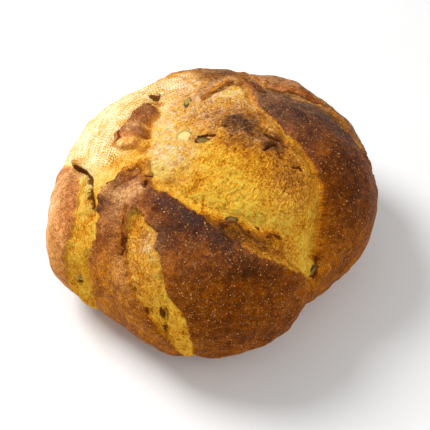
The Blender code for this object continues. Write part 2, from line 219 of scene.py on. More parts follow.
# Fine relief: size and rise in mm, how far and in how many steps fibres are drawn out, the draw
FIBRES = (1.2, 0.16, 3.6, 7, 31)
LONG_FIBRES = (2.2, 0.75, 19.0, 11, 36)
CRAGS = (6.5, 0.6, 32)
CRAG_OCTAVES = 3
PORES = (1.9, 0.9, 33)
PORE_RANGE = (0.34, 0.64)
DRAWN_ROUGHNESS = 0.25
SKIN_GRAIN = ((7.0, 0.28, 34), (2.2, 0.16, 35))

# Skin that stayed as rough as crumb: an outline, and patches with centre and half sizes in mm
TORN_STRIP = [
    (-7, -68), (5, -72), (15, -73), (19, -76), (27, -78), (39, -76), (47, -76), (49, -83),
    (54, -88), (66, -92), (61, -93), (45, -89), (34, -87), (26, -86), (19, -83), (13, -80),
    (8, -77), (3, -74), (-2, -71),
]
STRIP_FALL = 0.8
STRIP_EDGE = 0.5
ROUGH_SKIN = [
    ((-6, 76), (30, 24), 1.4), ((-50, 108), (30, 30), 1.4), ((-62, -3), (9, 6), 1.0),
    ((-43, -34), (4, 5), 1.0),
]

# Crumb that rose slowly and was drawn out long and smooth
DRAWN_OUT = [
    ((-86, 30), (30, 52), 1.0), ((-62, 62), (34, 30), 0.9), ((-76, -6), (9, 14), 0.5),
    ((-100, 70), (50, 50), 0.8), ((-26, 74), (18, 18), 0.7),
]

# How dark the skin is baked: patches with centre and half sizes in mm, and the change
SKIN_TONE = 0.59
SKIN_TONES = [
    ((-12, -70), (36, 11), 0.3), ((8, -98), (34, 18), 0.12), ((20, -125), (50, 20), 0.12),
    ((-55, -43), (9, 9), -0.19), ((-46, -45), (5, 4), -0.24), ((-69, -47), (6, 9), 0.1),
    ((92, -98), (8, 6), -0.22), ((108, -72), (10, 12), 0.1), ((56, -100), (20, 8), 0.1),
    ((-69, 5), (6, 6), -0.18), ((-31, -57), (6, 5), 0.1), ((-52, 27), (6, 6), -0.08),
    ((48, -130), (26, 10), 0.1), ((-27, -92), (5, 7), -0.14), ((-27, -81), (6, 5), 0.16),
    ((-113, -78), (6, 9), 0.14), ((48, 71), (9, 5), -0.06), ((90, -80), (8, 12), -0.16),
    ((32, -94), (12, 5), 0.12), ((-66, -40), (5, 5), -0.22), ((-46, -60), (6, 5), -0.14),
    ((-61, -56), (8, 8), -0.12), ((-55, -56), (4, 4), -0.12), ((-36, -67), (6, 4), -0.16),
    ((-21, -76), (6, 4), -0.12), ((-63, -88), (9, 14), -0.12), ((-52, -122), (14, 16), -0.2),
    ((26, -94), (26, 6), 0.16), ((-97, -31), (5, 12), 0.1), ((-100, -44), (6, 8), -0.08),
    ((-46, -26), (5, 5), -0.26), ((112, -18), (8, 14), 0.1), ((-80, -88), (20, 40), -0.14),
    ((-118, -40), (26, 70), -0.4), ((62, 28), (38, 16), 0.25), ((92, -16), (26, 34), 0.26),
    ((60, 76), (40, 12), -0.06), ((-60, 22), (9, 18), -0.1), ((-64, 2), (9, 7), -0.18),
    ((-116, -20), (20, 30), -0.1),
]
AMBER_TONES = [
    ((30, -144), (120, 40), 1.2), ((50, -104), (60, 18), 1.0), ((112, -66), (50, 56), 1.2),
    ((80, -50), (10, 50), 0.7), ((80, -104), (28, 16), 1.0), ((-60, -116), (30, 40), 0.9),
    ((-80, -110), (34, 30), 0.9), ((-47, -27), (7, 8), 1.2), ((-118, -60), (20, 60), 0.5),
]

# How brown the crumb is baked, rough skin with it
CRUMB_TONE = 0.20
CRUMB_TONES = [
    ((20, 8), (28, 20), 0.29), ((17, 3), (12, 9), 0.22), ((44, -8), (12, 10), 0.3),
    ((60, -34), (16, 30), 0.14), ((-2, 24), (24, 10), 0.22), ((86, 46), (40, 12), 0.5),
    ((50, 62), (20, 8), 0.34), ((-45, -92), (15, 42), 0.14), ((-98, -76), (14, 24), 0.1),
    ((-90, 40), (30, 50), -0.15), ((-40, 0), (14, 26), -0.08), ((6, 75), (18, 11), 0.32),
    ((15, 68), (9, 4), -0.12), ((-97, -1), (5, 5), 0.4), ((40, 96), (60, 30), 0.4),
    ((-20, 110), (40, 30), 0.34), ((13, -77), (18, 6), 0.4), ((34, -83), (24, 7), 0.36),
    ((28, -66), (22, 7), -0.04), ((-30, -14), (18, 20), -0.08), ((44, -26), (22, 22), 0.17),
    ((24, -18), (16, 10), 0.12), ((-40, -30), (7, 7), -0.12), ((-66, -16), (10, 8), 0.12),
    ((-52, -9), (8, 6), 0.26), ((-54, 6), (4, 5), 0.2), ((-44, 62), (8, 7), 0.12),
    ((-7, 52), (6, 5), 0.22), ((-84, -37), (5, 7), 0.12), ((-10, -57), (12, 4), -0.14),
    ((-36, -92), (6, 7), -0.1), ((-90, -38), (4, 6), -0.1), ((-86, -52), (6, 5), 0.16),
    ((20, 59), (8, 5), 0.28), ((-6, 69), (6, 5), 0.14), ((-33, -34), (3, 5), -0.06),
    ((0, 18), (10, 8), -0.16), ((10, -11), (8, 5), 0.12), ((-19, -45), (12, 8), 0.08),
    ((-33, -36), (5, 5), -0.12), ((-26, 58), (8, 6), 0.08), ((-43, -32), (4, 5), -0.3),
    ((83, -80), (6, 8), -0.14), ((-113, -78), (6, 9), 0.14), ((-16, 55), (18, 12), 0.12),
    ((-26, 44), (9, 8), 0.08), ((-50, -70), (9, 16), 0.09), ((-55, -83), (5, 12), 0.1),
    ((-30, -105), (6, 8), -0.1), ((-44, -98), (10, 14), 0.04), ((-67, 4), (6, 5), -0.2),
    ((-69, 20), (5, 8), 0.12), ((-77, -11), (7, 9), 0.08), ((-68, -16), (7, 6), 0.08),
    ((-53, -10), (6, 5), 0.12), ((-50, -21), (4, 4), 0.16), ((36, 19), (5, 5), 0.12),
    ((-54, 14), (4, 7), 0.2), ((36, -68), (12, 4), -0.14), ((60, -39), (10, 14), 0.1),
    ((2, -71), (6, 4), 0.14), ((-55, -57), (5, 6), -0.1), ((8, 8), (26, 20), 0.05),
    ((-22, -136), (14, 26), 0.1), ((-64, -1), (7, 5), 0.18), ((45, -12), (8, 8), 0.12),
    ((12, 47), (16, 6), -0.12), ((-24, -8), (9, 3), 0.1), ((-56, 92), (24, 7), 0.1),
    ((18, -19), (8, 8), 0.12), ((47, 66), (10, 5), -0.24), ((-45, 46), (6, 6), 0.24),
    ((-22, 74), (18, 20), -0.18), ((-92, -28), (7, 22), 0.02), ((-51, 14), (6, 20), 0.26),
    ((-47, -26), (6, 5), 0.26),
]
TONE_WAVES = ((16, 0.10, 21), (5, 0.09, 22), (2.2, 0.06, 23))
# Painted shade and highlight: the crumb's tone is darker in its fine valleys and paler on its crests,
# by this much for each mm
RELIEF_SHADE_TONE = 0.07

# Scorched ridges, with a painted bluish-grey sheen on them: the line, strength and half width in mm
SCORCHES_AND_SHEEN = [
    ([(-38, -52), (-27, -60), (-14, -68), (0, -77), (10, -84)], 0.7, 3.4),
    ([(-44, -42), (-40, -49)], 0.7, 3), ([(40, 50), (60, 43), (78, 35), (94, 22)], 0.7, 6),
    ([(34, 44), (52, 24), (70, 8)], 0.35, 7), ([(24, 72), (30, 60), (38, 52)], 0.6, 3.5),
    ([(-72, -36), (-75, -46)], 0.3, 5),
]
SCORCH_AND_SHEEN_WAVES = (6, 24)
SCORCH_AND_SHEEN_MEAN = 0.75
SCORCH_AND_SHEEN_CHANGE = 0.5

# Painted shade in clefts, open bubbles and slots under flaps: the line, strength and half width in mm
CLEFT_SHADES = [
    ([(-97, -5), (-91, -15), (-87, -24), (-84, -31), (-82, -38)], 1.0, 2.2),
    ([(-82, -38), (-82, -48)], 1.0, 1.0), ([(-92, -17), (-88, -26), (-86, -33), (-85, -37)], 1.0, 1.7),
    ([(-85, -37), (-84.5, -42), (-84, -47)], 1.0, 0.9),
    ([(-72, 1), (-67, 6), (-65, 19), (-60, 31), (-54, 40), (-49, 45)], 0.7, 1.2),
    ([(-48, 56), (-42, 55)], 1.0, 2.2), ([(-10, -6), (-4, -5), (1, -5)], 1.0, 1.1),
    ([(39, -2), (45, -4), (51, -5)], 0.8, 1.2),
    ([(37, -16), (40, -12), (45, -8), (47, -12), (48, -20)], 0.7, 1.1),
    ([(57, -25), (61, -23), (63, -26)], 0.8, 1.1), ([(63, -29), (64, -38)], 0.4, 0.9),
    ([(10, 1), (11, 1)], 1.0, 1.3), ([(51, -10), (52, -10)], 0.8, 1.0),
    ([(56, -12), (61, -14)], 0.5, 0.9), ([(-47, -36), (-45.5, -36)], 0.9, 0.8),
    ([(-45, -41), (-45, -44)], 0.9, 1.1), ([(89, -93), (85, -80)], 1.0, 1.4),
    ([(-60, -72), (-61, -80)], 0.8, 0.8), ([(-35.5, -112), (-35.5, -116), (-34, -118)], 1.0, 0.9),
    ([(-44, -111), (-43, -114)], 0.8, 0.8), ([(-35, -123), (-34, -126)], 0.8, 0.8),
    ([(-50, -99), (-47, -103)], 0.5, 1.1), ([(-20, -126), (-21, -127)], 0.5, 1.2),
    ([(-108, -81), (-105, -81)], 0.6, 3.0), ([(5, -72), (9, -74)], 0.9, 0.9),
    ([(22, -77), (27, -78.5)], 0.8, 0.7), ([(31, -73), (33, -73.5)], 0.9, 0.8),
    ([(36, -77), (40, -76), (44, -76.5)], 0.9, 0.8),
    ([(20, 61), (12, 57), (4, 53), (-4, 46)], 0.5, 1.2),
]

# Torn edges and spots that baked browner: the line, the change of tone and half width in mm
BROWNED = [
    ([(3, -71), (15, -73), (20, -76), (27, -78), (39, -76), (46, -75)], 0.34, 1.2),
    ([(-7, -66), (-6, -59)], 0.3, 1.0), ([(-4, -68), (6, -73)], 0.4, 2.8),
    ([(-12, -40), (-9, -45), (-11, -49)], 0.22, 2.4), ([(-62, 9), (-58, 16), (-53, 19)], -0.45, 1.3),
    ([(10, 3), (13, 11), (19, 11), (26, 6), (27, -4)], 0.2, 3.5),
    ([(38, -1), (30, 7), (27, 13), (24, 35)], 0.1, 3.0),
]

# The golden band of crumb along the inner edge of the right plate: line, strength, half width
RIM_BANDS = [
    ([(33, 40), (40, 12), (50, 2), (61, -5), (69, -18), (73, -32), (77, -48), (79, -66), (82, -80)],
     0.55, 3.6),
]

# Crumb that dried to a tan, and a painted grey sheen on the top of the right plate: patches with
# centre and half sizes in mm, and how much
DRY_CRUMB_AND_SHEEN = [
    ((-18, 50), (26, 26), 0.8), ((8, 22), (36, 20), 0.8), ((18, 2), (22, 14), 0.6),
    ((-38, 18), (9, 22), 0.6), ((88, 48), (46, 13), 1.0), ((-38, -78), (8, 7), 0.7),
    ((40, -8), (14, 10), 0.5), ((-97, -1), (6, 6), 0.9), ((-63, -3), (9, 6), 0.6),
    ((-59, 15), (7, 4), 1.0), ((0, 80), (34, 24), 1.0), ((30, -84), (26, 8), 0.2),
    # The patch at (60, 34) lays a painted grey sheen on the right plate's top
    ((80, 70), (60, 14), 0.8), ((60, 34), (40, 16), 0.35), ((-56, -44), (9, 8), 0.8),
    ((-62, -88), (8, 14), 0.3), ((-64, -52), (7, 12), 0.45), ((-116, -14), (20, 26), 0.4),
    ((-26, -18), (13, 20), 0.85), ((-40, -31), (4, 6), 0.3), ((-42, -14), (6, 8), 0.8),
    ((-46, -84), (12, 20), 0.25), ((56, -34), (14, 22), 0.3),
]

# Hulled pumpkin seeds: place in mm, turn and lean in degrees, length in metres, and how
# broad each is against the usual seed
SEED_WIDTH = 0.66
SEED_THICKNESS = 0.24
SEED_TAPER = 0.28
SEED_SINK = 0.0002
SEED_TONE = 0.75
# How much darker the seed's rim is, a painted shadow along its edge
SEED_RIM_SHADE = 0.5
SEED_RIM_RISE = 0.35
SEED_RIM_PLACE = (0.82, 0.12)
SEED_SIDES = 36
SEED_RINGS = 18
# Tone change of each seed: some seeds are darker of their own, and those that lie under a flap or in a
# hole or slot are darkened further as painted shade
SEED_SHADES = (0.1, -0.45, -0.3, -0.5, -0.2, -0.5, -0.5)
SEEDS = [
    ((-21, -5), 15, 24, 0.0115, 1.6), ((-7, -10), 170, 4, 0.0112, 0.9),
    ((-20, 43), 70, 14, 0.0105, 0.8), ((-46, 53), 40, 15, 0.009, 1.0),
    ((-107, -81), 20, 10, 0.0105, 1.0), ((87, -89), 92, 50, 0.011, 0.8),
    ((13, -70), 10, 20, 0.009, 1.0),
]

# Torn sheets that stand off the crust. Root points: across and along in mm, and tone. Tip
# points: across, along, lift, tone and how amber. Then the thickness in mm, and whether skin.
SHEETS = [
    ([(-67, -43, 0.58), (-62, -40, 0.55), (-57, -37, 0.46), (-53, -36, 0.36), (-50, -34, 0.28),
      (-47, -33, 0.24)],
     [(-75, -37, 1, 0.8, 0), (-70, -37, 1.6, 0.8, 0), (-63, -33, 2.8, 0.7, 0.2),
      (-57, -29, 4.5, 0.4, 1), (-51, -25, 4.2, 0.22, 1), (-47, -21, 3, 0.16, 1)], 1.4, 1),
    ([(-12, 48, 0.4), (-6, 50, 0.4), (-1, 55, 0.4), (3, 60, 0.45), (8, 64, 0.5), (16, 65, 0.5)],
     [(-9, 43, 0.3, 0.3, 1), (-5, 46, 1, 0.28, 1), (0, 50, 2, 0.25, 1), (5, 55, 2.5, 0.25, 0.9),
      (9, 58, 3, 0.35, 0.6), (15, 61, 2, 0.45, 0.5)], 1.0, 1),
    ([(-96, -13, 0.2), (-93, -21, 0.2), (-91, -28, 0.18), (-89.5, -35, 0.2), (-89, -46, 0.3)],
     [(-95, -13, 0.5, 0.2, 0), (-93.5, -20, 1.2, 0.16, 0), (-91, -27, 1.6, 0.16, 0),
      (-89.5, -34, 1.8, 0.18, 0), (-89, -40, 1.4, 0.24, 0), (-89, -45, 0.8, 0.3, 0)], 1.2, 0),
    ([(30, 80, 0.45), (35, 73, 0.5), (41, 69, 0.5), (51, 71, 0.5), (61, 71, 0.5), (73, 67, 0.5),
      (85, 63, 0.5)],
     [(31, 76, 0.5, 0.6, 0), (36, 69, 1.5, 0.6, 0), (43, 65, 2, 0.3, 0), (52, 66, 2, 0.3, 0),
      (61, 66, 1.5, 0.38, 0), (73, 61, 1, 0.55, 0), (85, 58, 0.3, 0.5, 0)], 1.2, 1),
    ([(24, 74, 0.6), (28, 66, 0.65), (33, 57, 0.7), (40, 50, 0.75)],
     [(21, 73, 1, 0.7, 0), (24, 62, 2, 0.75, 0), (31, 50, 2.5, 0.8, 0), (37, 43, 1.5, 0.8, 0)],
     1.2, 1),
    ([(-58, -52, 0.6), (-61, -60, 0.6), (-63, -67, 0.6), (-64, -74, 0.6), (-64, -80, 0.6)],
     [(-55, -53, 0.5, 0.5, 0.6), (-58, -60, 1.4, 0.45, 0.8), (-60, -67, 1.8, 0.4, 0.9),
      (-61, -74, 1.8, 0.4, 0.9), (-61, -80, 0.8, 0.45, 0.8)], 1.0, 1),
]
SHEET_STEPS = (90, 9)
SHEET_SINK = 0.8
SHEET_CURL = 0.12
SHEET_ROUGH = (1.8, 0.2, 42)
SHEET_RAGGED = (3.5, 0.14, 41)
SHEET_RIM = (0.6, 1)
SHEET_TAPER = 0.7
SHEET_ENDS = (6, 0.02)
SHEET_BELOW = 0.4

# What is scattered: where skin begins and crumb ends, how flat the bits are, and the lean
SKIN_FROM = 0.95
CRUMB_TO = 0.3
BLISTER_FLATNESS = 0.45
BLISTER_SEED = 7
STRAND_FLATNESS = 0.8

# What each bit draws by chance: the lowest, the highest and the number of the draw
BLISTER_CHANCE = (0.0, 1.0, 5)
# How much paler each bit is drawn, a painted highlight for bits that catch the light
HIGHLIGHT_PALER = (-0.04, 0.14, 11)
STRAND_CHANCE = (0.0, 1.0, 12)
STRAND_LEAN = ((-0.4, -0.35, -0.4), (0.4, 0.12, 0.4), 13)

# How a bit's chance makes its size: the least, what the chance adds, and its power
BLISTER_SIZES = (0.35, 0.75, 4.0)
BLISTER_SPREAD = 0.25
STRAND_SIZES = (0.35, 0.65, 2.0)
STRAND_THICKNESS = (0.6, 0.4)

# Bits of crumb: thickness in metres, how far the bits are drawn out and how much thinner they
# lie on long crumb, and the seed. The grains' half length comes first.
STRANDS = (0.00016, 2.0, 0.8, 17)
GRAINS = (0.00036, 0.00028, 0.0, 0.95, 18)

# The stage: each light's offset from the aim and its size, and the floor's size, in metres
KEY_LIGHT = ((-0.55, 0.30, 0.75), 0.45)
FILL_LIGHT = ((0.7, -0.6, 0.6), 1.2)
FLOOR_SIZE = 6

# The ball that the loaf is drawn from: its points crowd towards the front of the crown
CROWD_TO = Vector((0, -0.45, 0.9)).normalized()
CROWDING = 0.27


def linear(red, green, blue):
    """A colour as a display shows it, from 0 to 255, as linear light."""
    shares = [value / 255 for value in (red, green, blue)]
    toe, slope, offset, power = 0.04045, 12.92, 0.055, 2.4
    return tuple(s / slope if s <= toe else ((s + offset) / (1 + offset)) ** power for s in shares)


def stops(*rows):
    """Stops of a colour ramp, each with its place and its colour as a display shows it."""
    return [(place, linear(*colour)) for place, *colour in rows]


def unit(vectors):
    return vectors / np.maximum(np.linalg.norm(vectors, axis=-1, keepdims=True), NEAR_AXIS * MM)


def bearing_of(direction):
    return np.arctan2(direction[:, 1], direction[:, 0])


def plan_radius(bearing):
    """Radius of the plain dome at its widest, for bearings in radians."""
    radius = np.full_like(bearing, MEAN_RADIUS)
    for centre, size, spread in PLAN_LOBES:
        off = (np.degrees(bearing) - centre + 180) % 360 - 180
        radius += size * np.exp(-0.5 * (off / spread) ** 2)
    return radius


def dome_radius(direction):
    """Distance of the plain dome from the loaf's middle, along unit directions."""
    flat = np.hypot(direction[:, 0], direction[:, 1]) / plan_radius(bearing_of(direction))
    flat = np.maximum(flat, NEAR_AXIS)
    rise = direction[:, 2]
    upper = (flat**UPPER_ROUNDNESS
             + (np.maximum(rise, 0) / (CROWN_HEIGHT - WIDEST_HEIGHT)) ** UPPER_ROUNDNESS)
    lower = (flat**LOWER_ROUNDNESS
             + (np.maximum(-rise, 0) / BELLY_DEPTH) ** LOWER_ROUNDNESS)
    return np.where(rise > 0, upper ** (-1 / UPPER_ROUNDNESS), lower ** (-1 / LOWER_ROUNDNESS))


def crust_place(direction):
    """The two crust coordinates, in mm, of unit directions from the loaf's middle."""
    reach = np.degrees(np.arccos(np.clip(direction[:, 2], -1, 1))) * CRUST_PER_DEGREE
    bearing = bearing_of(direction)
    return np.stack([reach * np.cos(bearing), reach * np.sin(bearing)], axis=1)


def crust_direction(place):
    """Unit directions from the loaf's middle to places on the crust, given in mm."""
    place = np.asarray(place, float)
    angle = np.radians(np.hypot(place[:, 0], place[:, 1]) / CRUST_PER_DEGREE)
    bearing = bearing_of(place)
    return np.stack([np.sin(angle) * np.cos(bearing), np.sin(angle) * np.sin(bearing),
                     np.cos(angle)], axis=1)


def distance_to_line(place, line):
    """Distance in mm from each place to an open line of points."""
    nearest = np.full(len(place), np.inf)
    for start, end in zip(line[:-1], line[1:]):
        start, way = np.array(start, float), np.subtract(end, start)
        share = np.clip((place - start) @ way / max(way @ way, NEAR_AXIS), 0, 1)
        off = place - start - share[:, None] * way
        nearest = np.minimum(nearest, np.hypot(off[:, 0], off[:, 1]))
    return nearest


def depth_inside(place, outline):
    """Distance in mm to a closed outline, positive inside it."""
    closed = outline + outline[:1]
    inside = np.zeros(len(place), bool)
    for (x0, y0), (x1, y1) in zip(closed[:-1], closed[1:]):
        crosses = (y0 > place[:, 1]) != (y1 > place[:, 1])
        if y0 != y1:
            edge = x0 + (place[:, 1] - y0) * (x1 - x0) / (y1 - y0)
            inside ^= crosses & (place[:, 0] < edge)
    return np.where(inside, 1, -1) * distance_to_line(place, closed)


def waves(points, size, draw, octaves=2):
    """Smooth unevenness, from about -1 to 1, with bumps of the given size in mm."""
    shift = DRAW_SHIFT * draw
    return np.array([noise.fractal(Vector(point) / (size * MM) + shift, WAVE_ROUGHNESS, WAVE_GAP,
                                   octaves) for point in points])


def layered(points, layers):
    """Several sets of waves together, each with its size in mm, strength and draw."""
    return sum(strength * waves(points, size, draw) for size, strength, draw in layers)


def side_shifts(points, size, draws):
    """Two sets of waves side by side, to shift places on the crust."""
    return np.stack([waves(points, size, draw) for draw in draws], axis=1)


def smooth_step(low, high, value):
    share = np.clip((value - low) / (high - low), 0, 1)
    return share * share * (3 - 2 * share)


def oval(place, centre, half):
    """Squared distance of each place from a centre, counted in half sizes."""
    return (((place - np.array(centre)) / half) ** 2).sum(axis=1)


def patches(place, spots):
    """Sum of soft oval patches, each with its centre, half sizes and strength."""
    return sum(change * np.exp(-oval(place, centre, half)) for centre, half, change in spots)


def strokes(place, drawn_lines):
    """Soft lines at each place, from the line, its strength and its half width in mm."""
    return [strength * np.exp(-((distance_to_line(place, line) / half) ** 2))
            for line, strength, half in drawn_lines]


def strongest(place, drawn_lines):
    return np.max(strokes(place, drawn_lines), axis=0)


def skin_depth(place):
    """Distance in mm inside the dark skin, negative on bare crumb."""
    return np.max([depth_inside(place, outline) for outline in DARK_SKIN], axis=0)


def dome_points(place):
    direction = crust_direction(place)
    return direction * dome_radius(direction)[:, None]


def along_dome(place, heading):
    """Unit vectors on the dome for a heading, given as a unit step in crust coordinates."""
    way = dome_points(place + NUDGE * heading) - dome_points(place - NUDGE * heading)
    return way / np.maximum(np.linalg.norm(way, axis=1), NEAR_AXIS)[:, None]


def pull_heading(place):
    """Unit steps in crust coordinates along which the crumb was pulled apart."""
    total = np.zeros((len(place), 2))
    total[:, 0] = len(PULLS) * NEAR_AXIS
    for centre, heading in PULLS:
        near = np.exp(-oval(place, centre, PULL_REACH))
        double = math.radians(2 * heading)
        total += near[:, None] * np.array([math.cos(double), math.sin(double)])
    angle = np.arctan2(total[:, 1], total[:, 0]) / 2
    return np.stack([np.cos(angle), np.sin(angle)], axis=1)


def body_height(place, points, depth):
    """Height in mm of the crust above the plain dome, without its fine relief."""
    skin = SKIN_LEVEL + SKIN_PILLOW * (1 - np.exp(-np.maximum(depth, 0) / PILLOW_REACH))
    crumb = CRUMB_LEVEL + sum(
        rise * np.clip(1 - oval(place, centre, half), 0, 1) ** SWELLING_SHAPE
        for centre, half, rise in SWELLINGS)
    share = smooth_step(-STEP_WIDTH / 2, STEP_WIDTH / 2, depth)
    height = crumb + (skin - crumb) * share
    height += sum(strokes(place, FOLDS))
    height -= patches(place, [(centre, half, fall) for centre, fall, half in BUBBLES])
    return height + layered(points, BODY_WAVES)


def drawn(points, pull, size, rise, length, steps, draw):
    """Noise drawn out along the pull, from about -1 to 1, times its rise in mm."""
    moves = np.linspace(-length / 2, length / 2, steps)
    total = sum(waves(points + move * MM * pull, size, draw) for move in moves)
    return rise * total / math.sqrt(steps)


def fine_height(points, pull, bare, long):
    """Fibres, crags and pores of the torn crumb, and the grain of the skin, in mm."""
    size, rise, draw = CRAGS
    crags = rise * (1 - 2 * np.abs(waves(points, size, draw, CRAG_OCTAVES)))
    size, fall, draw = PORES
    pores = fall * smooth_step(*PORE_RANGE, waves(points, size, draw))
    torn = drawn(points, pull, *FIBRES) + crags - pores
    crumb = torn + (drawn(points, pull, *LONG_FIBRES) + (DRAWN_ROUGHNESS - 1) * torn) * long
    skin = layered(points, SKIN_GRAIN)
    return skin + (crumb - skin) * bare


def shape_crust(direction):
    """Points of the finished crust, and what its finish needs, along unit directions."""
    middle = np.array([*AXIS, WIDEST_HEIGHT])
    radius = dome_radius(direction)
    points = direction * radius[:, None]
    plain = crust_place(direction)
    place = plain + RAGGED_EDGE * side_shifts(points, *RAGGED_WAVES)
    edged = place + TORN_EDGE * side_shifts(points, *TORN_WAVES)

    depth = skin_depth(edged)
    slope = np.stack([skin_depth(edged + (NUDGE, 0)) - skin_depth(edged - (NUDGE, 0)),
                      skin_depth(edged + (0, NUDGE)) - skin_depth(edged - (0, NUDGE))], axis=1)
    outward = -slope / np.maximum(np.hypot(*slope.T), NEAR_AXIS)[:, None]
    pull = along_dome(plain, pull_heading(plain))

    under = smooth_step(FOOT_RIM - FOOT_BLEND, FOOT_RIM + FOOT_BLEND, np.hypot(*plain.T))
    skin = np.maximum(smooth_step(-SKIN_EDGE, SKIN_EDGE, depth), under)
    strip = smooth_step(-STRIP_EDGE, STRIP_EDGE, depth_inside(edged, TORN_STRIP))
    skin *= (1 - strip) * (1 - np.clip(patches(place, ROUGH_SKIN), 0, 1))
    lift = strongest(place, [(line, rise, width) for line, rise, _, width in LIPS])
    reach = strongest(place, [(line, overhang, width) for line, _, overhang, width in LIPS])
    uneven = np.clip(LIP_MEAN + LIP_CHANGE * waves(points, *LIP_WAVES), 0, LIP_MOST)
    top = smooth_step(*LIP_TOP, depth)
    height = body_height(place, points, depth)
    long = np.clip(patches(plain, DRAWN_OUT), 0, 1)
    fine = fine_height(points, pull, 1 - skin, long) * (1 - under)
    height += fine - STRIP_FALL * strip
    height += lift * uneven * top * np.exp(-((depth / LIP_WIDTH) ** 2))
    radius = radius + height * MM
    floor = np.where(direction[:, 2] < 0, WIDEST_HEIGHT / np.maximum(-direction[:, 2], NEAR_AXIS), 1)
    radius = np.minimum(radius, floor)
    out = middle + direction * radius[:, None]
    shove = reach * uneven * top * np.exp(-np.maximum(depth, 0) / LIP_FADE) * (1 - under)
    out += (shove * MM)[:, None] * along_dome(plain, outward)
    out[:, 2] = np.maximum(out[:, 2], 0)

    mottle = layered(points, TONE_WAVES)
    skin_tone = SKIN_TONE + patches(place, SKIN_TONES) + mottle
    # Crumb is painted darker in its fine valleys and paler on its crests, as painted shade and
    # highlight
    crumb_tone = CRUMB_TONE + patches(place, CRUMB_TONES) + mottle - RELIEF_SHADE_TONE * fine
    crumb_tone += sum(strokes(edged, BROWNED))
    # Scorch darkens the ridges, and its colour carries a painted sheen
    scorch = strongest(edged, SCORCHES_AND_SHEEN)
    scorch *= SCORCH_AND_SHEEN_MEAN + SCORCH_AND_SHEEN_CHANGE * waves(points, *SCORCH_AND_SHEEN_WAVES)
    marks = {
        "skin": skin,
        "tone": np.clip(skin_tone * skin + crumb_tone * (1 - skin), 0, 1),
        "amber": np.clip(patches(place, AMBER_TONES), 0, 1),
        "scorch": np.clip(scorch, 0, 1) * skin,
        "edge": np.maximum(np.exp(-((depth / EDGE_WIDTH) ** 2)) * (1 - under),
                           strongest(edged, RIM_BANDS)),
        # painted shade that darkens the clefts and bubbles
        "hollow": np.clip(strongest(edged, CLEFT_SHADES), 0, 1),
        "long": long * (1 - skin),
        "dry": np.clip(patches(place, DRY_CRUMB_AND_SHEEN), 0, 1),
        "foot": under,
        "pull": pull,
    }
    return out, marks


class Tree:
    """Builds a shader or geometry node tree, one node at a time."""

    def __init__(self, nodes):
        self.nodes = nodes.nodes
        self.links = nodes.links

    def add(self, kind, settings=None, sockets=None):
        """A new node with its settings made first, and then its values and links."""
        node = self.nodes.new(kind)
        for name, value in (settings or {}).items():
            if name == "stops":
                ramp = node.color_ramp.elements
                while len(ramp) > 1:
                    ramp.remove(ramp[-1])
                ramp[0].position, ramp[0].color = value[0][0], (*value[0][1], 1)
                for position, colour in value[1:]:
                    ramp.new(position).color = (*colour, 1)
            else:
                setattr(node, name, value)
        for name, value in (sockets or {}).items():
            if isinstance(value, Value):
                self.links.new(value.socket, node.inputs[name])
            else:
                node.inputs[name].default_value = value
        return node

    def value(self, kind, settings=None, sockets=None, output=0):
        return Value(self, self.add(kind, settings, sockets).outputs[output])


class Value:
    """A socket in a tree. Sums and products of it add Math nodes."""

    def __init__(self, tree, socket):
        self.tree = tree
        self.socket = socket

    def math(self, operation, *terms):
        return self.tree.value("ShaderNodeMath", {"operation": operation}, dict(enumerate(terms)))

    def __add__(self, other):
        return self.math("ADD", self, other)

    def __radd__(self, other):
        return self.math("ADD", other, self)

    def __sub__(self, other):
        return self.math("SUBTRACT", self, other)

    def __rsub__(self, other):
        return self.math("SUBTRACT", other, self)

    def __mul__(self, other):
        return self.math("MULTIPLY", self, other)

    def __rmul__(self, other):
        return self.math("MULTIPLY", other, self)

    def __pow__(self, power):
        return self.math("POWER", self, power)

    def swing(self, strength):
        """A value from 0 to 1 as a change to both sides of zero."""
        return (self - 0.5) * strength


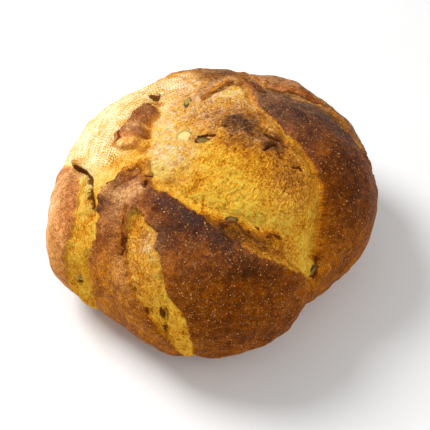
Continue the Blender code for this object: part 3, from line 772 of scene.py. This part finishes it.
class Finish(Tree):
    """A material whose Principled shader is fed by nodes."""

    def __init__(self, name, roughness, specular=0.5):
        self.material = bpy.data.materials.new(name)
        self.material.use_nodes = True
        super().__init__(self.material.node_tree)
        self.shader = self.nodes["Principled BSDF"]
        self.shader.inputs["Roughness"].default_value = roughness
        self.shader.inputs["Specular IOR Level"].default_value = specular
        self.place = self.value("ShaderNodeTexCoord", output="Object")

    def mark(self, name):
        return self.value("ShaderNodeAttribute", {"attribute_name": name}, output="Fac")

    def noise(self, size, detail=2, roughness=0.5, place=None):
        """Noise from 0 to 1 with features of a size in mm."""
        sockets = {"Vector": place or self.place, "Scale": 1 / (size * MM), "Detail": detail,
                   "Roughness": roughness}
        return self.value("ShaderNodeTexNoise", None, sockets)

    def spread(self, value, low, high, to_low=0.0, to_high=1.0):
        """Map a range of the value to another, smoothly and without going past it."""
        sockets = {"Value": value, "From Min": low, "From Max": high, "To Min": to_low,
                   "To Max": to_high}
        return self.value("ShaderNodeMapRange", {"interpolation_type": "SMOOTHSTEP"}, sockets)

    def patchy(self, size, detail, roughness, *span):
        """Noise with a part of its range spread out."""
        return self.spread(self.noise(size, detail, roughness), *span)

    def ramp(self, value, colours):
        return self.value("ShaderNodeValToRGB", {"stops": colours}, {"Fac": value})

    def mix(self, share, first, second):
        """One colour into another by a share from 0 to 1."""
        colours = [value if isinstance(value, Value) else (*value, 1) for value in (first, second)]
        settings = {"data_type": "RGBA", "clamp_factor": True}
        return self.value("ShaderNodeMix", settings, {0: share, 6: colours[0], 7: colours[1]},
                          output=2)

    def moved(self, along, distance):
        """Object coordinates moved by a distance in metres along a vector."""
        sockets = {0: along, 1: (distance,) * 3, 2: self.place}
        return self.value("ShaderNodeVectorMath", {"operation": "MULTIPLY_ADD"}, sockets)

    def strands(self, along, size, step):
        """Noise of a size in mm, drawn out along a vector by steps in metres, from 0 to 1."""
        total = sum(self.noise(size, 1, place=self.moved(along, step * move))
                    for move in STRAND_MOVES)
        return self.spread(total * (1 / len(STRAND_MOVES)), *STRAND_RANGE)

    def spots(self, size):
        """Round spots, 1 in the middle and 0 outside, in cells of a size in mm."""
        sockets = {"Vector": self.place, "Scale": 1 / (size * MM), "Randomness": 1.0}
        cells = self.value("ShaderNodeTexVoronoi", {"feature": "F1"}, sockets, output="Distance")
        return self.spread(cells, *SPOT_RANGE)

    def bump(self, height, distance):
        """Bump from a height of 0 to 1, over a distance in metres."""
        return self.value("ShaderNodeBump", None, {"Height": height, "Distance": distance})

    def feed(self, **sockets):
        for name, value in sockets.items():
            self.links.new(value.socket, self.shader.inputs[name.replace("_", " ")])
        return self.material


# Colours of the bake, palest first, and the colours of painted sheen and painted shade
TORN_STOPS = stops(
    (0.00, 255, 218, 84), (0.14, 255, 199, 64), (0.28, 246, 168, 42), (0.44, 213, 130, 18),
    (0.62, 164, 97, 22), (0.80, 116, 72, 38), (1.00, 66, 44, 34),
)
DRAWN_STOPS = stops(
    (0.00, 255, 244, 206), (0.14, 253, 222, 142), (0.28, 242, 190, 84), (0.44, 214, 144, 44),
    (0.70, 140, 88, 48), (1.00, 90, 56, 40),
)
# Dry tan, which also paints a grey sheen on the right plate
DRY_AND_SHEEN_STOPS = stops(
    (0.00, 255, 236, 200), (0.16, 250, 210, 156), (0.32, 230, 174, 112), (0.50, 184, 130, 82),
    (0.70, 132, 90, 62), (0.86, 92, 64, 50), (1.00, 58, 42, 36),
)
SKIN_STOPS = stops(
    (0.00, 242, 184, 124), (0.25, 204, 126, 66), (0.50, 146, 80, 36), (0.75, 102, 54, 30),
    (1.00, 62, 36, 28),
)
AMBER_STOPS = stops(
    (0.00, 244, 172, 50), (0.25, 212, 130, 10), (0.50, 156, 84, 0), (0.75, 112, 52, 0),
    (1.00, 70, 34, 4),
)
SEED_STOPS = stops((0.0, 82, 56, 30), (0.4, 152, 128, 56), (0.8, 236, 200, 120), (1.0, 248, 222, 160))
BLISTER_STOPS = stops((0.3, 150, 92, 44), (0.5, 184, 122, 58), (0.72, 232, 182, 104))
# Dark scorch with a painted bluish-grey sheen in it
SCORCH_AND_SHEEN_COLOUR = linear(58, 46, 46)
SPECK_COLOUR = linear(255, 222, 158)
RIM_COLOUR = linear(202, 120, 12)
# The colour of the painted shade in clefts and bubbles
CREVICE_SHADE_COLOUR = linear(100, 46, 6)

# Noise in the finish: size in mm, detail, roughness, and the part of its range that is spread
CLOUD = (9, 3)
FUZZ = (1.5, 3, 0.7, 0.32, 0.68)
GRIT = (0.9, 2, 0.5, 0.34, 0.66)
PITS = (1.1, 2, 0.6, 0.65, 0.74)
BLOTCH = (3.6, 2, 0.5, 0.34, 0.66)
DRIED = (5, 3, 0.5, 0.40, 0.60, 0.3, 1.0)

# Strands: size in mm and step in metres. Specks: cell size in mm, and the noise where they lie.
SHORT_STRANDS = (0.55, 0.0005)
LONG_STRANDS = (1.0, 0.0021)
STRAND_MOVES = range(-3, 4)
STRAND_RANGE = (0.43, 0.57)
SPOT_RANGE = (0.26, 0.12)
SPECKS = ((1.9, (2.6, 1, 0.5, 0.45, 0.57)), (0.9, (3.2, 1, 0.5, 0.42, 0.58)))

# How far each noise changes the tone of the crumb and of the skin
CRUMB_CLOUD, CRUMB_FUZZ, CRUMB_GRIT, CRUMB_STRANDS = 0.18, 0.26, 0.14, 0.24
SKIN_CLOUD, SKIN_BLOTCH, SKIN_FUZZ, SKIN_GRIT = 0.28, 0.13, 0.17, 0.26
LONG_CALM = 0.75
# How much darker the crumb is in its pits, a painted shade in the pores
PIT_SHADE_TONE = 0.3

# How far other colours come over the tone: a range of a noise or mark, and the shares it makes
RIM_SHARE = (0.0, 1.0, 0.75, 0.45)
DRY_AND_SHEEN_SHARE = 0.9
SCORCH_AND_SHEEN_SHARE = (0.35, 0.65, 0.7, 1.0)
SPECK_SHARE = 0.8
SPECK_FALL = 0.68
# How far the painted shade in clefts and bubbles comes over the colour
CREVICE_SHADE_FUZZ = 0.2
CREVICE_SHADE_SHARE = (0.22, 0.62, 0.0, 0.94)

# The bump in metres, what lifts it on crumb and on skin, and the roughness from crumb to skin
BUMP = 0.0007
CRUMB_LIFTS = (0.6, 0.4, -0.4)
SKIN_LIFTS = (0.3, 0.25, 0.45)
SKIN_BUMP = 0.6
ROUGHNESS_FUZZ = 0.5
ROUGHNESS = (0.0, 1.0, 0.85, 0.5)

# Seeds, blisters and floor: the noise of each, its swing, and the seeds' bump in metres
SEED_CLOUD = (3, 3)
SEED_SWING = 0.3
SEED_GRAIN = (0.6, 2)
SEED_BUMP = 0.0002
BLISTER_CLOUD = (2.0, 2)
FLOOR_CLOUD = (60, 2)
FLOOR_STOPS = [(0.3, (0.91, 0.91, 0.905)), (0.7, (0.93, 0.93, 0.925))]


def baked_finish():
    """The loaf's own surface: skin and crumb, told apart by the marks in its mesh."""
    finish = Finish("baked crust and crumb", 0.6, 0.03)
    names = ("skin", "tone", "amber", "scorch", "edge", "hollow", "long", "dry")
    skin, tone, amber, scorch, edge, hollow, long, dry = (finish.mark(name) for name in names)
    pull = finish.value("ShaderNodeAttribute", {"attribute_name": "pull"}, output="Vector")

    short = finish.strands(pull, *SHORT_STRANDS)
    strands = short + (finish.strands(pull, *LONG_STRANDS) - short) * long
    fuzz, grit, pits, blotch = (finish.patchy(*kind) for kind in (FUZZ, GRIT, PITS, BLOTCH))
    cloud = finish.noise(*CLOUD)

    crumb_tone = tone + cloud.swing(CRUMB_CLOUD) + fuzz.swing(CRUMB_FUZZ) * (1 - LONG_CALM * long)
    crumb_tone += grit.swing(CRUMB_GRIT) * (1 - long) - strands.swing(CRUMB_STRANDS) * (1 + long)
    # The pits darken the crumb as painted shade in its pores
    torn = finish.ramp(crumb_tone + pits * PIT_SHADE_TONE, TORN_STOPS)
    crumb = finish.mix(long, torn, finish.ramp(crumb_tone, DRAWN_STOPS))
    dried = dry * finish.patchy(*DRIED)
    crumb = finish.mix(dried, crumb, finish.ramp(crumb_tone + pits * PIT_SHADE_TONE, DRY_AND_SHEEN_STOPS))
    crumb = finish.mix(edge * finish.spread(strands, *RIM_SHARE), crumb, RIM_COLOUR)

    skin_tone = tone + cloud.swing(SKIN_CLOUD) + blotch.swing(SKIN_BLOTCH) + fuzz.swing(SKIN_FUZZ)
    skin_tone += grit.swing(SKIN_GRIT) * (1 - tone)
    plate = finish.mix(amber, finish.ramp(skin_tone, SKIN_STOPS), finish.ramp(skin_tone, AMBER_STOPS))
    # Dry tan on the skin, and a painted grey sheen on the right plate's top
    plate = finish.mix(dry * DRY_AND_SHEEN_SHARE, plate, finish.ramp(skin_tone, DRY_AND_SHEEN_STOPS))
    # Scorched ridges, with a painted bluish-grey sheen in their colour
    plate = finish.mix(scorch * finish.spread(fuzz, *SCORCH_AND_SHEEN_SHARE), plate, SCORCH_AND_SHEEN_COLOUR)
    large, small = (finish.spots(size) * finish.patchy(*where) for size, where in SPECKS)
    specks = large.math("MAXIMUM", large, small)
    plate = finish.mix(specks * (SPECK_SHARE - SPECK_FALL * tone), plate, SPECK_COLOUR)
    # Painted shade darkens the clefts and bubbles
    cleft_shade_share = finish.spread(hollow + fuzz.swing(CREVICE_SHADE_FUZZ), *CREVICE_SHADE_SHARE)
    colour = finish.mix(cleft_shade_share, finish.mix(skin, crumb, plate), CREVICE_SHADE_COLOUR)

    crumb_rise = sum(part * lift for part, lift in zip((strands, fuzz, pits), CRUMB_LIFTS))
    skin_rise = sum(part * lift for part, lift in zip((fuzz, grit, specks), SKIN_LIFTS))
    rise = crumb_rise * (1 - skin) + skin_rise * (skin * SKIN_BUMP)
    roughness = finish.spread(skin + fuzz.swing(ROUGHNESS_FUZZ), *ROUGHNESS)
    return finish.feed(Base_Color=colour, Roughness=roughness, Normal=finish.bump(rise, BUMP))


def seed_finish():
    finish = Finish("pumpkin seed", 0.5, 0.12)
    shade = finish.mark("shade") + finish.noise(*SEED_CLOUD).swing(SEED_SWING)
    grain = finish.bump(finish.noise(*SEED_GRAIN), SEED_BUMP)
    return finish.feed(Base_Color=finish.ramp(shade, SEED_STOPS), Normal=grain)


def blister_finish():
    finish = Finish("pale blisters", 0.5)
    return finish.feed(Base_Color=finish.ramp(finish.noise(*BLISTER_CLOUD), BLISTER_STOPS))


def floor_finish():
    finish = Finish("pale floor", 0.9, 0.1)
    return finish.feed(Base_Color=finish.ramp(finish.noise(*FLOOR_CLOUD), FLOOR_STOPS))


def add_object(name, mesh):
    piece = bpy.data.objects.new(name, mesh)
    bpy.context.scene.collection.objects.link(piece)
    return piece


def ball_directions(cuts):
    """A cube cut into a grid and blown up to a ball, with points crowded to the front."""
    ball = bmesh.new()
    bmesh.ops.create_cube(ball, size=2)
    bmesh.ops.subdivide_edges(ball, edges=ball.edges[:], cuts=cuts - 1, use_grid_fill=True)
    mesh = bpy.data.meshes.new("loaf_crust")
    ball.to_mesh(mesh)
    ball.free()
    grid = np.empty(len(mesh.vertices) * 3, np.float32)
    mesh.vertices.foreach_get("co", grid)
    grid = np.tan(grid.reshape(-1, 3).astype(float) * math.pi / 4)
    even = unit(grid)
    way = np.array(CROWD_TO) * CROWDING
    return mesh, unit(even * (1 - way @ way) + way * (1 + 2 * even @ way + way @ way)[:, None])


def write_marks(mesh, marks):
    """Give each point of a mesh its marks: numbers, or vectors."""
    for name, values in marks.items():
        kind, field = ("FLOAT", "value") if values.ndim == 1 else ("FLOAT_VECTOR", "vector")
        mark = mesh.attributes.new(name, kind, "POINT")
        mark.data.foreach_set(field, values.astype(np.float32).ravel())


def add_piece(name, mesh, marks, material):
    """A smooth piece with its marks and its material."""
    write_marks(mesh, marks)
    mesh.shade_smooth()
    mesh.materials.append(material)
    return add_object(name, mesh)


def baked_nodes(name, mesh, build, sizes):
    """A plain mesh from a Geometry Nodes tree on a copy of the given mesh."""
    group = bpy.data.node_groups.new(name, "GeometryNodeTree")
    sockets = group.interface
    sockets.new_socket("Geometry", in_out="INPUT", socket_type="NodeSocketGeometry")
    sockets.new_socket("Geometry", in_out="OUTPUT", socket_type="NodeSocketGeometry")
    named = {}
    kinds = {float: "NodeSocketFloat", int: "NodeSocketInt"}
    for label, value in sizes.items():
        kind = kinds.get(type(value), "NodeSocketMaterial")
        socket = sockets.new_socket(label, in_out="INPUT", socket_type=kind)
        named[socket.identifier] = value
    tree = Tree(group)
    source = tree.add("NodeGroupInput")
    result = build(tree, {label: Value(tree, source.outputs[label])
                          for label in ("Geometry", *sizes)})
    tree.add("NodeGroupOutput", None, {"Geometry": result})
    holder = add_object(name, mesh.copy())
    modifier = holder.modifiers.new(name, "NODES")
    modifier.node_group = group
    for identifier, value in named.items():
        modifier[identifier] = value
    bpy.context.view_layer.update()
    graph = bpy.context.evaluated_depsgraph_get()
    baked = bpy.data.meshes.new_from_object(holder.evaluated_get(graph))
    if not baked.polygons:
        raise RuntimeError(f"{name}: its nodes made no faces")
    holder.modifiers.clear()
    holder.data = baked
    baked.name = name
    baked.shade_smooth()
    return holder


def read_mark(tree, name, kind="FLOAT"):
    return tree.value("GeometryNodeInputNamedAttribute", {"data_type": kind}, {"Name": name})


def chance_of(tree, low, high, seed, output=1):
    """A value drawn for each point: a number, or a vector with output 0."""
    ends = {2: low, 3: high} if output else {0: low, 1: high}
    kind = "FLOAT" if output else "FLOAT_VECTOR"
    return tree.value("FunctionNodeRandomValue", {"data_type": kind}, {**ends, "Seed": seed},
                      output=output)


def scattered(tree, sockets, where):
    """Points drawn on the faces, as dense as a share from 0 to 1 says, and their rotations."""
    scatter = tree.add("GeometryNodeDistributePointsOnFaces", {"distribute_method": "RANDOM"},
                       {"Mesh": sockets["Geometry"], "Density": sockets["Density"] * where,
                        "Seed": sockets["Seed"]})
    return [Value(tree, scatter.outputs[name]) for name in ("Points", "Rotation")]


def laid_out(tree, sockets, points, rotation, sizes):
    """A small ball on each point, turned and drawn out, as real faces with the material."""
    ball = tree.value("GeometryNodeMeshIcoSphere", None, {"Radius": 1.0, "Subdivisions": 1})
    scale = tree.value("ShaderNodeCombineXYZ", None, dict(enumerate(sizes)))
    placed = tree.value("GeometryNodeInstanceOnPoints", None,
                        {"Points": points, "Instance": ball, "Rotation": rotation, "Scale": scale})
    real = tree.value("GeometryNodeRealizeInstances", None, {"Geometry": placed})
    return tree.value("GeometryNodeSetMaterial", None,
                      {"Geometry": real, "Material": sockets["Material"]})


def on_skin(tree, sockets):
    """Small flat domes scattered where the mark named skin is high."""
    skin = read_mark(tree, "skin")
    where = skin.math("GREATER_THAN", skin, SKIN_FROM) * (1 - read_mark(tree, "foot"))
    points, rotation = scattered(tree, sockets, where)
    draw = chance_of(tree, *BLISTER_CHANCE)
    least, large, power = BLISTER_SIZES
    size = sockets["Length"] * (least + large * draw**power + BLISTER_SPREAD * draw)
    return laid_out(tree, sockets, points, rotation, (size, size, size * BLISTER_FLATNESS))


def on_crumb(tree, sockets):
    """Torn bits of crumb scattered where the mark named skin is low, laid along the pull."""
    skin = read_mark(tree, "skin")
    long = read_mark(tree, "long")
    # No bits lie in the painted shade of clefts and bubbles
    bare = skin.math("LESS_THAN", skin, CRUMB_TO) * (1 - read_mark(tree, "hollow"))
    where = bare * (1 - read_mark(tree, "foot")) * (1 - sockets["Thin"] * long)
    points, rotation = scattered(tree, sockets, where)
    # Each bit is drawn paler than the crumb under it, as a painted highlight
    highlight_tone = read_mark(tree, "tone") - chance_of(tree, *HIGHLIGHT_PALER)
    points = tree.value("GeometryNodeStoreNamedAttribute", {"data_type": "FLOAT", "domain": "POINT"},
                        {"Geometry": points, "Name": "tone", "Value": highlight_tone})
    draw = chance_of(tree, *STRAND_CHANCE)
    least, more, power = STRAND_SIZES
    size = sockets["Length"] * (least + more * draw**power)
    least, more = STRAND_THICKNESS
    thick = sockets["Thickness"] * (least + more * draw)
    laid = tree.value("FunctionNodeAlignRotationToVector", {"axis": "X", "pivot_axis": "Z"},
                      {"Rotation": rotation, "Vector": read_mark(tree, "pull", "FLOAT_VECTOR")})
    lean = tree.value("FunctionNodeEulerToRotation", None,
                      {"Euler": chance_of(tree, *STRAND_LEAN, output=0)})
    turned = tree.value("FunctionNodeRotateRotation", {"rotation_space": "LOCAL"},
                        {"Rotation": laid, "Rotate By": lean})
    sizes = (size * (1 + sockets["Draw"] * long), thick, thick * STRAND_FLATNESS)
    return laid_out(tree, sockets, points, turned, sizes)


def along_line(line, count):
    """Points evenly spread along an open line, with whatever follows their two coordinates."""
    line = np.array(line, float)
    walked = np.concatenate([[0], np.cumsum(np.hypot(*np.diff(line[:, :2], axis=0).T))])
    where = np.linspace(0, walked[-1], count)
    return np.stack([np.interp(where, walked, column) for column in line.T], axis=1)


def sheet_mesh(root, tip, thickness, skin):
    """One torn sheet of crust, from its root line to its ragged tip, as a closed shell."""
    count, rows = SHEET_STEPS
    root = along_line(root, count)
    tip = along_line(tip, count)
    low, out = crust_points(root[:, :2])
    high, far = crust_points(tip[:, :2])
    low -= out * SHEET_SINK * MM
    reach = high + far * tip[:, 2:3] * MM - low
    reach *= 1 + layered(high, [SHEET_RAGGED])[:, None]
    face = unit(np.cross(np.gradient(low, axis=0), reach))
    face *= np.sign((face * out).sum(axis=1))[:, None]
    share = np.linspace(0, 1, rows)[None, :, None]
    length = np.linalg.norm(reach, axis=1)[:, None, None]
    middle = low[:, None] + reach[:, None] * share
    middle += face[:, None] * length * SHEET_CURL * np.sin(math.pi * share)
    power, least = SHEET_ENDS
    ends = np.clip(1 - np.abs(np.linspace(-1, 1, count)) ** power, least, 1)[:, None, None] ** 0.5
    half = thickness / 2 * MM * (1 - SHEET_TAPER * share) * ends
    rough = MM * layered(middle.reshape(-1, 3), [SHEET_ROUGH]).reshape(count, rows, 1) * ends
    upper = middle + face[:, None] * (half + rough)
    lower = middle - face[:, None] * half
    points = np.concatenate([upper.reshape(-1, 3), lower.reshape(-1, 3)])

    number = np.arange(count * rows).reshape(count, rows)
    below = number + count * rows
    faces = []
    for i in range(count - 1):
        for j in range(rows - 1):
            faces.append((number[i, j], number[i + 1, j], number[i + 1, j + 1], number[i, j + 1]))
            faces.append((below[i, j], below[i, j + 1], below[i + 1, j + 1], below[i + 1, j]))
    border = [*number[:, 0], *number[-1, 1:], *number[-2::-1, -1], *number[0, -2:0:-1]]
    for here, there in zip(border, border[1:] + border[:1]):
        faces.append((here, there, there + count * rows, here + count * rows))

    across = np.broadcast_to(share[..., 0], (count, rows))
    tone = (root[:, 2:3] + (tip[:, 3:4] - root[:, 2:3]) * across).ravel()
    none = np.zeros(len(points))
    marks = {
        "skin": np.repeat([float(skin), 0.0], len(tone)),
        "tone": np.concatenate([tone, tone * SHEET_BELOW]),
        "amber": np.tile((tip[:, 4:5] * across).ravel(), 2),
        "edge": np.tile(smooth_step(*SHEET_RIM, across.ravel()), 2),
        "scorch": none, "hollow": none, "long": none, "dry": none,
        "pull": np.tile(np.repeat(unit(reach), rows, axis=0), (2, 1)),
    }
    return points, faces, marks


def seed_mesh(direction_frame, turn, lean, length, breadth):
    """One hulled seed as a flat pointed ball with a raised rim."""
    shape = bmesh.new()
    bmesh.ops.create_uvsphere(shape, u_segments=SEED_SIDES, v_segments=SEED_RINGS, radius=0.5)
    shade = []
    place, width = SEED_RIM_PLACE
    for vertex in shape.verts:
        x, y = vertex.co.x * 2, vertex.co.y * 2
        narrow = 1 - SEED_TAPER * (x + 1) / 2
        rim = math.exp(-(((math.hypot(x, y) - place) / width) ** 2))
        vertex.co.y *= SEED_WIDTH * breadth * narrow
        vertex.co.z *= SEED_THICKNESS * (1 + SEED_RIM_RISE * rim)
        vertex.co *= length
        # The rim is painted darker, a painted shadow along the seed's edge
        shade.append(SEED_TONE - SEED_RIM_SHADE * rim)
    point, right, back, out = direction_frame
    axes = Matrix((right, back, out)).transposed().to_4x4()
    spin = Matrix.Rotation(math.radians(turn), 4, "Z") @ Matrix.Rotation(math.radians(lean), 4, "X")
    shape.transform(Matrix.Translation(point - out * SEED_SINK) @ axes @ spin)
    return shape, shade


def crust_points(place):
    """The crust's points, without fine relief, and its unit directions, at places in mm."""
    direction = crust_direction(place)
    radius = dome_radius(direction)
    points = direction * radius[:, None]
    moved = crust_place(direction) + RAGGED_EDGE * side_shifts(points, *RAGGED_WAVES)
    height = body_height(moved, points, skin_depth(moved))
    return direction * (radius + height * MM)[:, None] + (*AXIS, WIDEST_HEIGHT), direction


def crust_frame(place):
    """The crust's point at one place, and its right, back and outward directions."""
    around = np.array([place, np.add(place, (SLOPE_STEP, 0)), np.add(place, (0, SLOPE_STEP))])
    point, right, back = crust_points(around)[0]
    out = Vector(np.cross(right - point, back - point)).normalized()
    right = Vector(right - point)
    right = (right - right.dot(out) * out).normalized()
    return Vector(point), right, out.cross(right), out


class BREAD_PG_look(bpy.types.PropertyGroup):
    cuts: IntProperty(
        name="Cuts", description="Faces along each side of the ball that the loaf is drawn from",
        default=125, min=8, max=128)
    blister_radius: FloatProperty(
        name="Blister radius", description="Radius of the largest pale blisters on the skin",
        default=0.00042, unit="LENGTH")
    strand_length: FloatProperty(
        name="Strand length", description="Half length of the longest torn strands of crumb",
        default=0.0016, unit="LENGTH")
    strand_density: FloatProperty(
        name="Strands", description="Torn strands for each square metre of bare crumb",
        default=150000.0)
    grain_density: FloatProperty(
        name="Grains", description="Loose grains for each square metre of bare crumb",
        default=150000.0)
    blister_density: FloatProperty(
        name="Blisters", description="Blisters for each square metre of skin",
        default=140000.0)


class BREAD_PG_stage(bpy.types.PropertyGroup):
    elevation: FloatProperty(
        name="Elevation", description="Angle of the camera above the horizon",
        default=math.radians(50), subtype="ANGLE")
    distance: FloatProperty(
        name="Distance", description="From the camera to the point it looks at",
        default=0.56, unit="LENGTH")
    lens: FloatProperty(name="Lens", description="Focal length in millimetres", default=70.0)
    aim: FloatVectorProperty(
        name="Aim", description="The point that the camera looks at",
        default=(0.0016 + AXIS[0], -0.0077 + AXIS[1], 0.0435), subtype="TRANSLATION")
    key_power: FloatProperty(
        name="Key light", description="Power of the soft light from the upper left",
        default=9.0, unit="POWER")
    fill_power: FloatProperty(
        name="Fill light", description="Power of the soft light from the front right",
        default=3.8, unit="POWER")
    sky: FloatProperty(
        name="Sky", description="Strength of the even light all around", default=0.43)


class BREAD_OT_loaf(bpy.types.Operator):
    """Shape the loaf's crust and crumb"""

    bl_idname = "bread.loaf"
    bl_label = "Loaf"

    def execute(self, context):
        mesh, direction = ball_directions(context.scene.bread_look.cuts)
        points, marks = shape_crust(direction)
        mesh.vertices.foreach_set("co", points.astype(np.float32).ravel())
        mesh.update()
        loaf = add_piece("loaf_crust", mesh, marks, baked_finish())
        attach(loaf, "root")
        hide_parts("loaf")
        return {"FINISHED"}


class BREAD_OT_seeds(bpy.types.Operator):
    """Lay the pumpkin seeds in the crust"""

    bl_idname = "bread.seeds"
    bl_label = "Seeds"

    def execute(self, context):
        together = bmesh.new()
        shades = []
        for (place, turn, lean, length, breadth), change in zip(SEEDS, SEED_SHADES):
            shape, shade = seed_mesh(crust_frame(place), turn, lean, length, breadth)
            part = bpy.data.meshes.new("seed")
            shape.to_mesh(part)
            shape.free()
            together.from_mesh(part)
            bpy.data.meshes.remove(part)
            shades += [value + change for value in shade]
        mesh = bpy.data.meshes.new("pumpkin_seeds")
        together.to_mesh(mesh)
        together.free()
        seeds = add_piece("pumpkin_seeds", mesh, {"shade": np.array(shades)}, seed_finish())
        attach(seeds, "root")
        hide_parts("loaf")
        return {"FINISHED"}


class BREAD_OT_blisters(bpy.types.Operator):
    """Scatter the small pale blisters over the dark skin"""

    bl_idname = "bread.blisters"
    bl_label = "Blisters"

    def execute(self, context):
        look = context.scene.bread_look
        sizes = {"Density": look.blister_density, "Length": look.blister_radius,
                 "Seed": BLISTER_SEED, "Material": blister_finish()}
        blisters = baked_nodes("skin_blisters", bpy.data.objects["loaf_crust"].data, on_skin, sizes)
        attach(blisters, "root")
        return {"FINISHED"}


class BREAD_OT_crumbs(bpy.types.Operator):
    """Scatter torn strands and grains over the bare crumb"""

    bl_idname = "bread.crumbs"
    bl_label = "Crumbs"

    def execute(self, context):
        look = context.scene.bread_look
        loaf = bpy.data.objects["loaf_crust"].data
        kinds = [("crumb_strands", look.strand_density, look.strand_length, *STRANDS),
                 ("crumb_grains", look.grain_density, *GRAINS)]
        for name, density, length, thickness, draw, thin, seed in kinds:
            sizes = {"Density": density, "Length": length, "Thickness": thickness, "Draw": draw,
                     "Thin": thin, "Seed": seed, "Material": loaf.materials[0]}
            crumbs = baked_nodes(name, loaf, on_crumb, sizes)
            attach(crumbs, "root")
        return {"FINISHED"}


class BREAD_OT_sheets(bpy.types.Operator):
    """Raise the thin torn sheets of crust along the bursts"""

    bl_idname = "bread.sheets"
    bl_label = "Torn sheets"

    def execute(self, context):
        points, faces, marks = [], [], {}
        for sheet in SHEETS:
            some, joined, finish = sheet_mesh(*sheet)
            first = sum(len(part) for part in points)
            faces += [tuple(int(corner) + first for corner in face) for face in joined]
            points.append(some)
            for name, values in finish.items():
                marks.setdefault(name, []).append(values)
        mesh = bpy.data.meshes.new("torn_sheets")
        mesh.from_pydata(np.concatenate(points).tolist(), [], faces)
        shape = bmesh.new()
        shape.from_mesh(mesh)
        bmesh.ops.recalc_face_normals(shape, faces=shape.faces)
        shape.to_mesh(mesh)
        shape.free()
        marks = {name: np.concatenate(values) for name, values in marks.items()}
        material = bpy.data.objects["loaf_crust"].data.materials[0]
        sheets = add_piece("torn_sheets", mesh, marks, material)
        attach(sheets, "root")
        return {"FINISHED"}


class BREAD_OT_stage(bpy.types.Operator):
    """Set up the floor, the lights and the camera"""

    bl_idname = "bread.stage"
    bl_label = "Stage"

    def execute(self, context):
        stage = context.scene.bread_stage
        bpy.ops.mesh.primitive_plane_add(size=FLOOR_SIZE)
        floor = context.object
        floor.name = floor.data.name = "floor"
        floor.data.materials.append(floor_finish())

        aim = Vector(stage.aim)
        add_light("key", aim, *KEY_LIGHT, stage.key_power)
        add_light("fill", aim, *FILL_LIGHT, stage.fill_power)

        world = bpy.data.worlds.new("even light")
        context.scene.world = world
        world.use_nodes = True
        sky = world.node_tree.nodes["Background"]
        sky.inputs["Color"].default_value = (1, 1, 1, 1)
        sky.inputs["Strength"].default_value = stage.sky

        camera = bpy.data.cameras.new("camera")
        camera.lens = stage.lens
        holder = add_object("camera", camera)
        back = Vector((0, -math.cos(stage.elevation), math.sin(stage.elevation)))
        holder.location = aim + back * stage.distance
        holder.rotation_euler = (math.pi / 2 - stage.elevation, 0, 0)
        context.scene.camera = holder
        context.scene.view_settings.view_transform = "Standard"
        return {"FINISHED"}


def add_light(name, aim, away, size, power):
    light = bpy.data.lights.new(name, "AREA")
    light.shape = "DISK"
    light.size = size
    light.energy = power
    lamp = add_object(name, light)
    lamp.location = aim + Vector(away)
    lamp.rotation_euler = (-Vector(away)).to_track_quat("-Z", "Y").to_euler()


class BREAD_PT_panel(bpy.types.Panel):
    bl_label = "Pumpkin bread"
    bl_idname = "BREAD_PT_panel"
    bl_space_type = "VIEW_3D"
    bl_region_type = "UI"
    bl_category = "Bread"

    def draw(self, context):
        for group in (context.scene.bread_look, context.scene.bread_stage):
            for name in group.bl_rna.properties.keys():
                if name not in ("rna_type", "name"):
                    self.layout.prop(group, name)
        for step in STEPS:
            self.layout.operator(step.bl_idname)


STEPS = (BREAD_OT_loaf, BREAD_OT_seeds, BREAD_OT_blisters, BREAD_OT_crumbs, BREAD_OT_sheets,
         BREAD_OT_stage)
CLASSES = (BREAD_PG_look, BREAD_PG_stage, *STEPS, BREAD_PT_panel)


def register():
    for kind in CLASSES:
        bpy.utils.register_class(kind)
    bpy.types.Scene.bread_look = PointerProperty(type=BREAD_PG_look)
    bpy.types.Scene.bread_stage = PointerProperty(type=BREAD_PG_stage)


def unregister():
    del bpy.types.Scene.bread_stage
    del bpy.types.Scene.bread_look
    for kind in reversed(CLASSES):
        bpy.utils.unregister_class(kind)


def main():
    register()
    bpy.ops.bread.loaf()
    bpy.ops.bread.seeds()
    bpy.ops.bread.blisters()
    bpy.ops.bread.crumbs()
    bpy.ops.bread.sheets()
    bpy.ops.bread.stage()


if __name__ == "__main__":
    main()
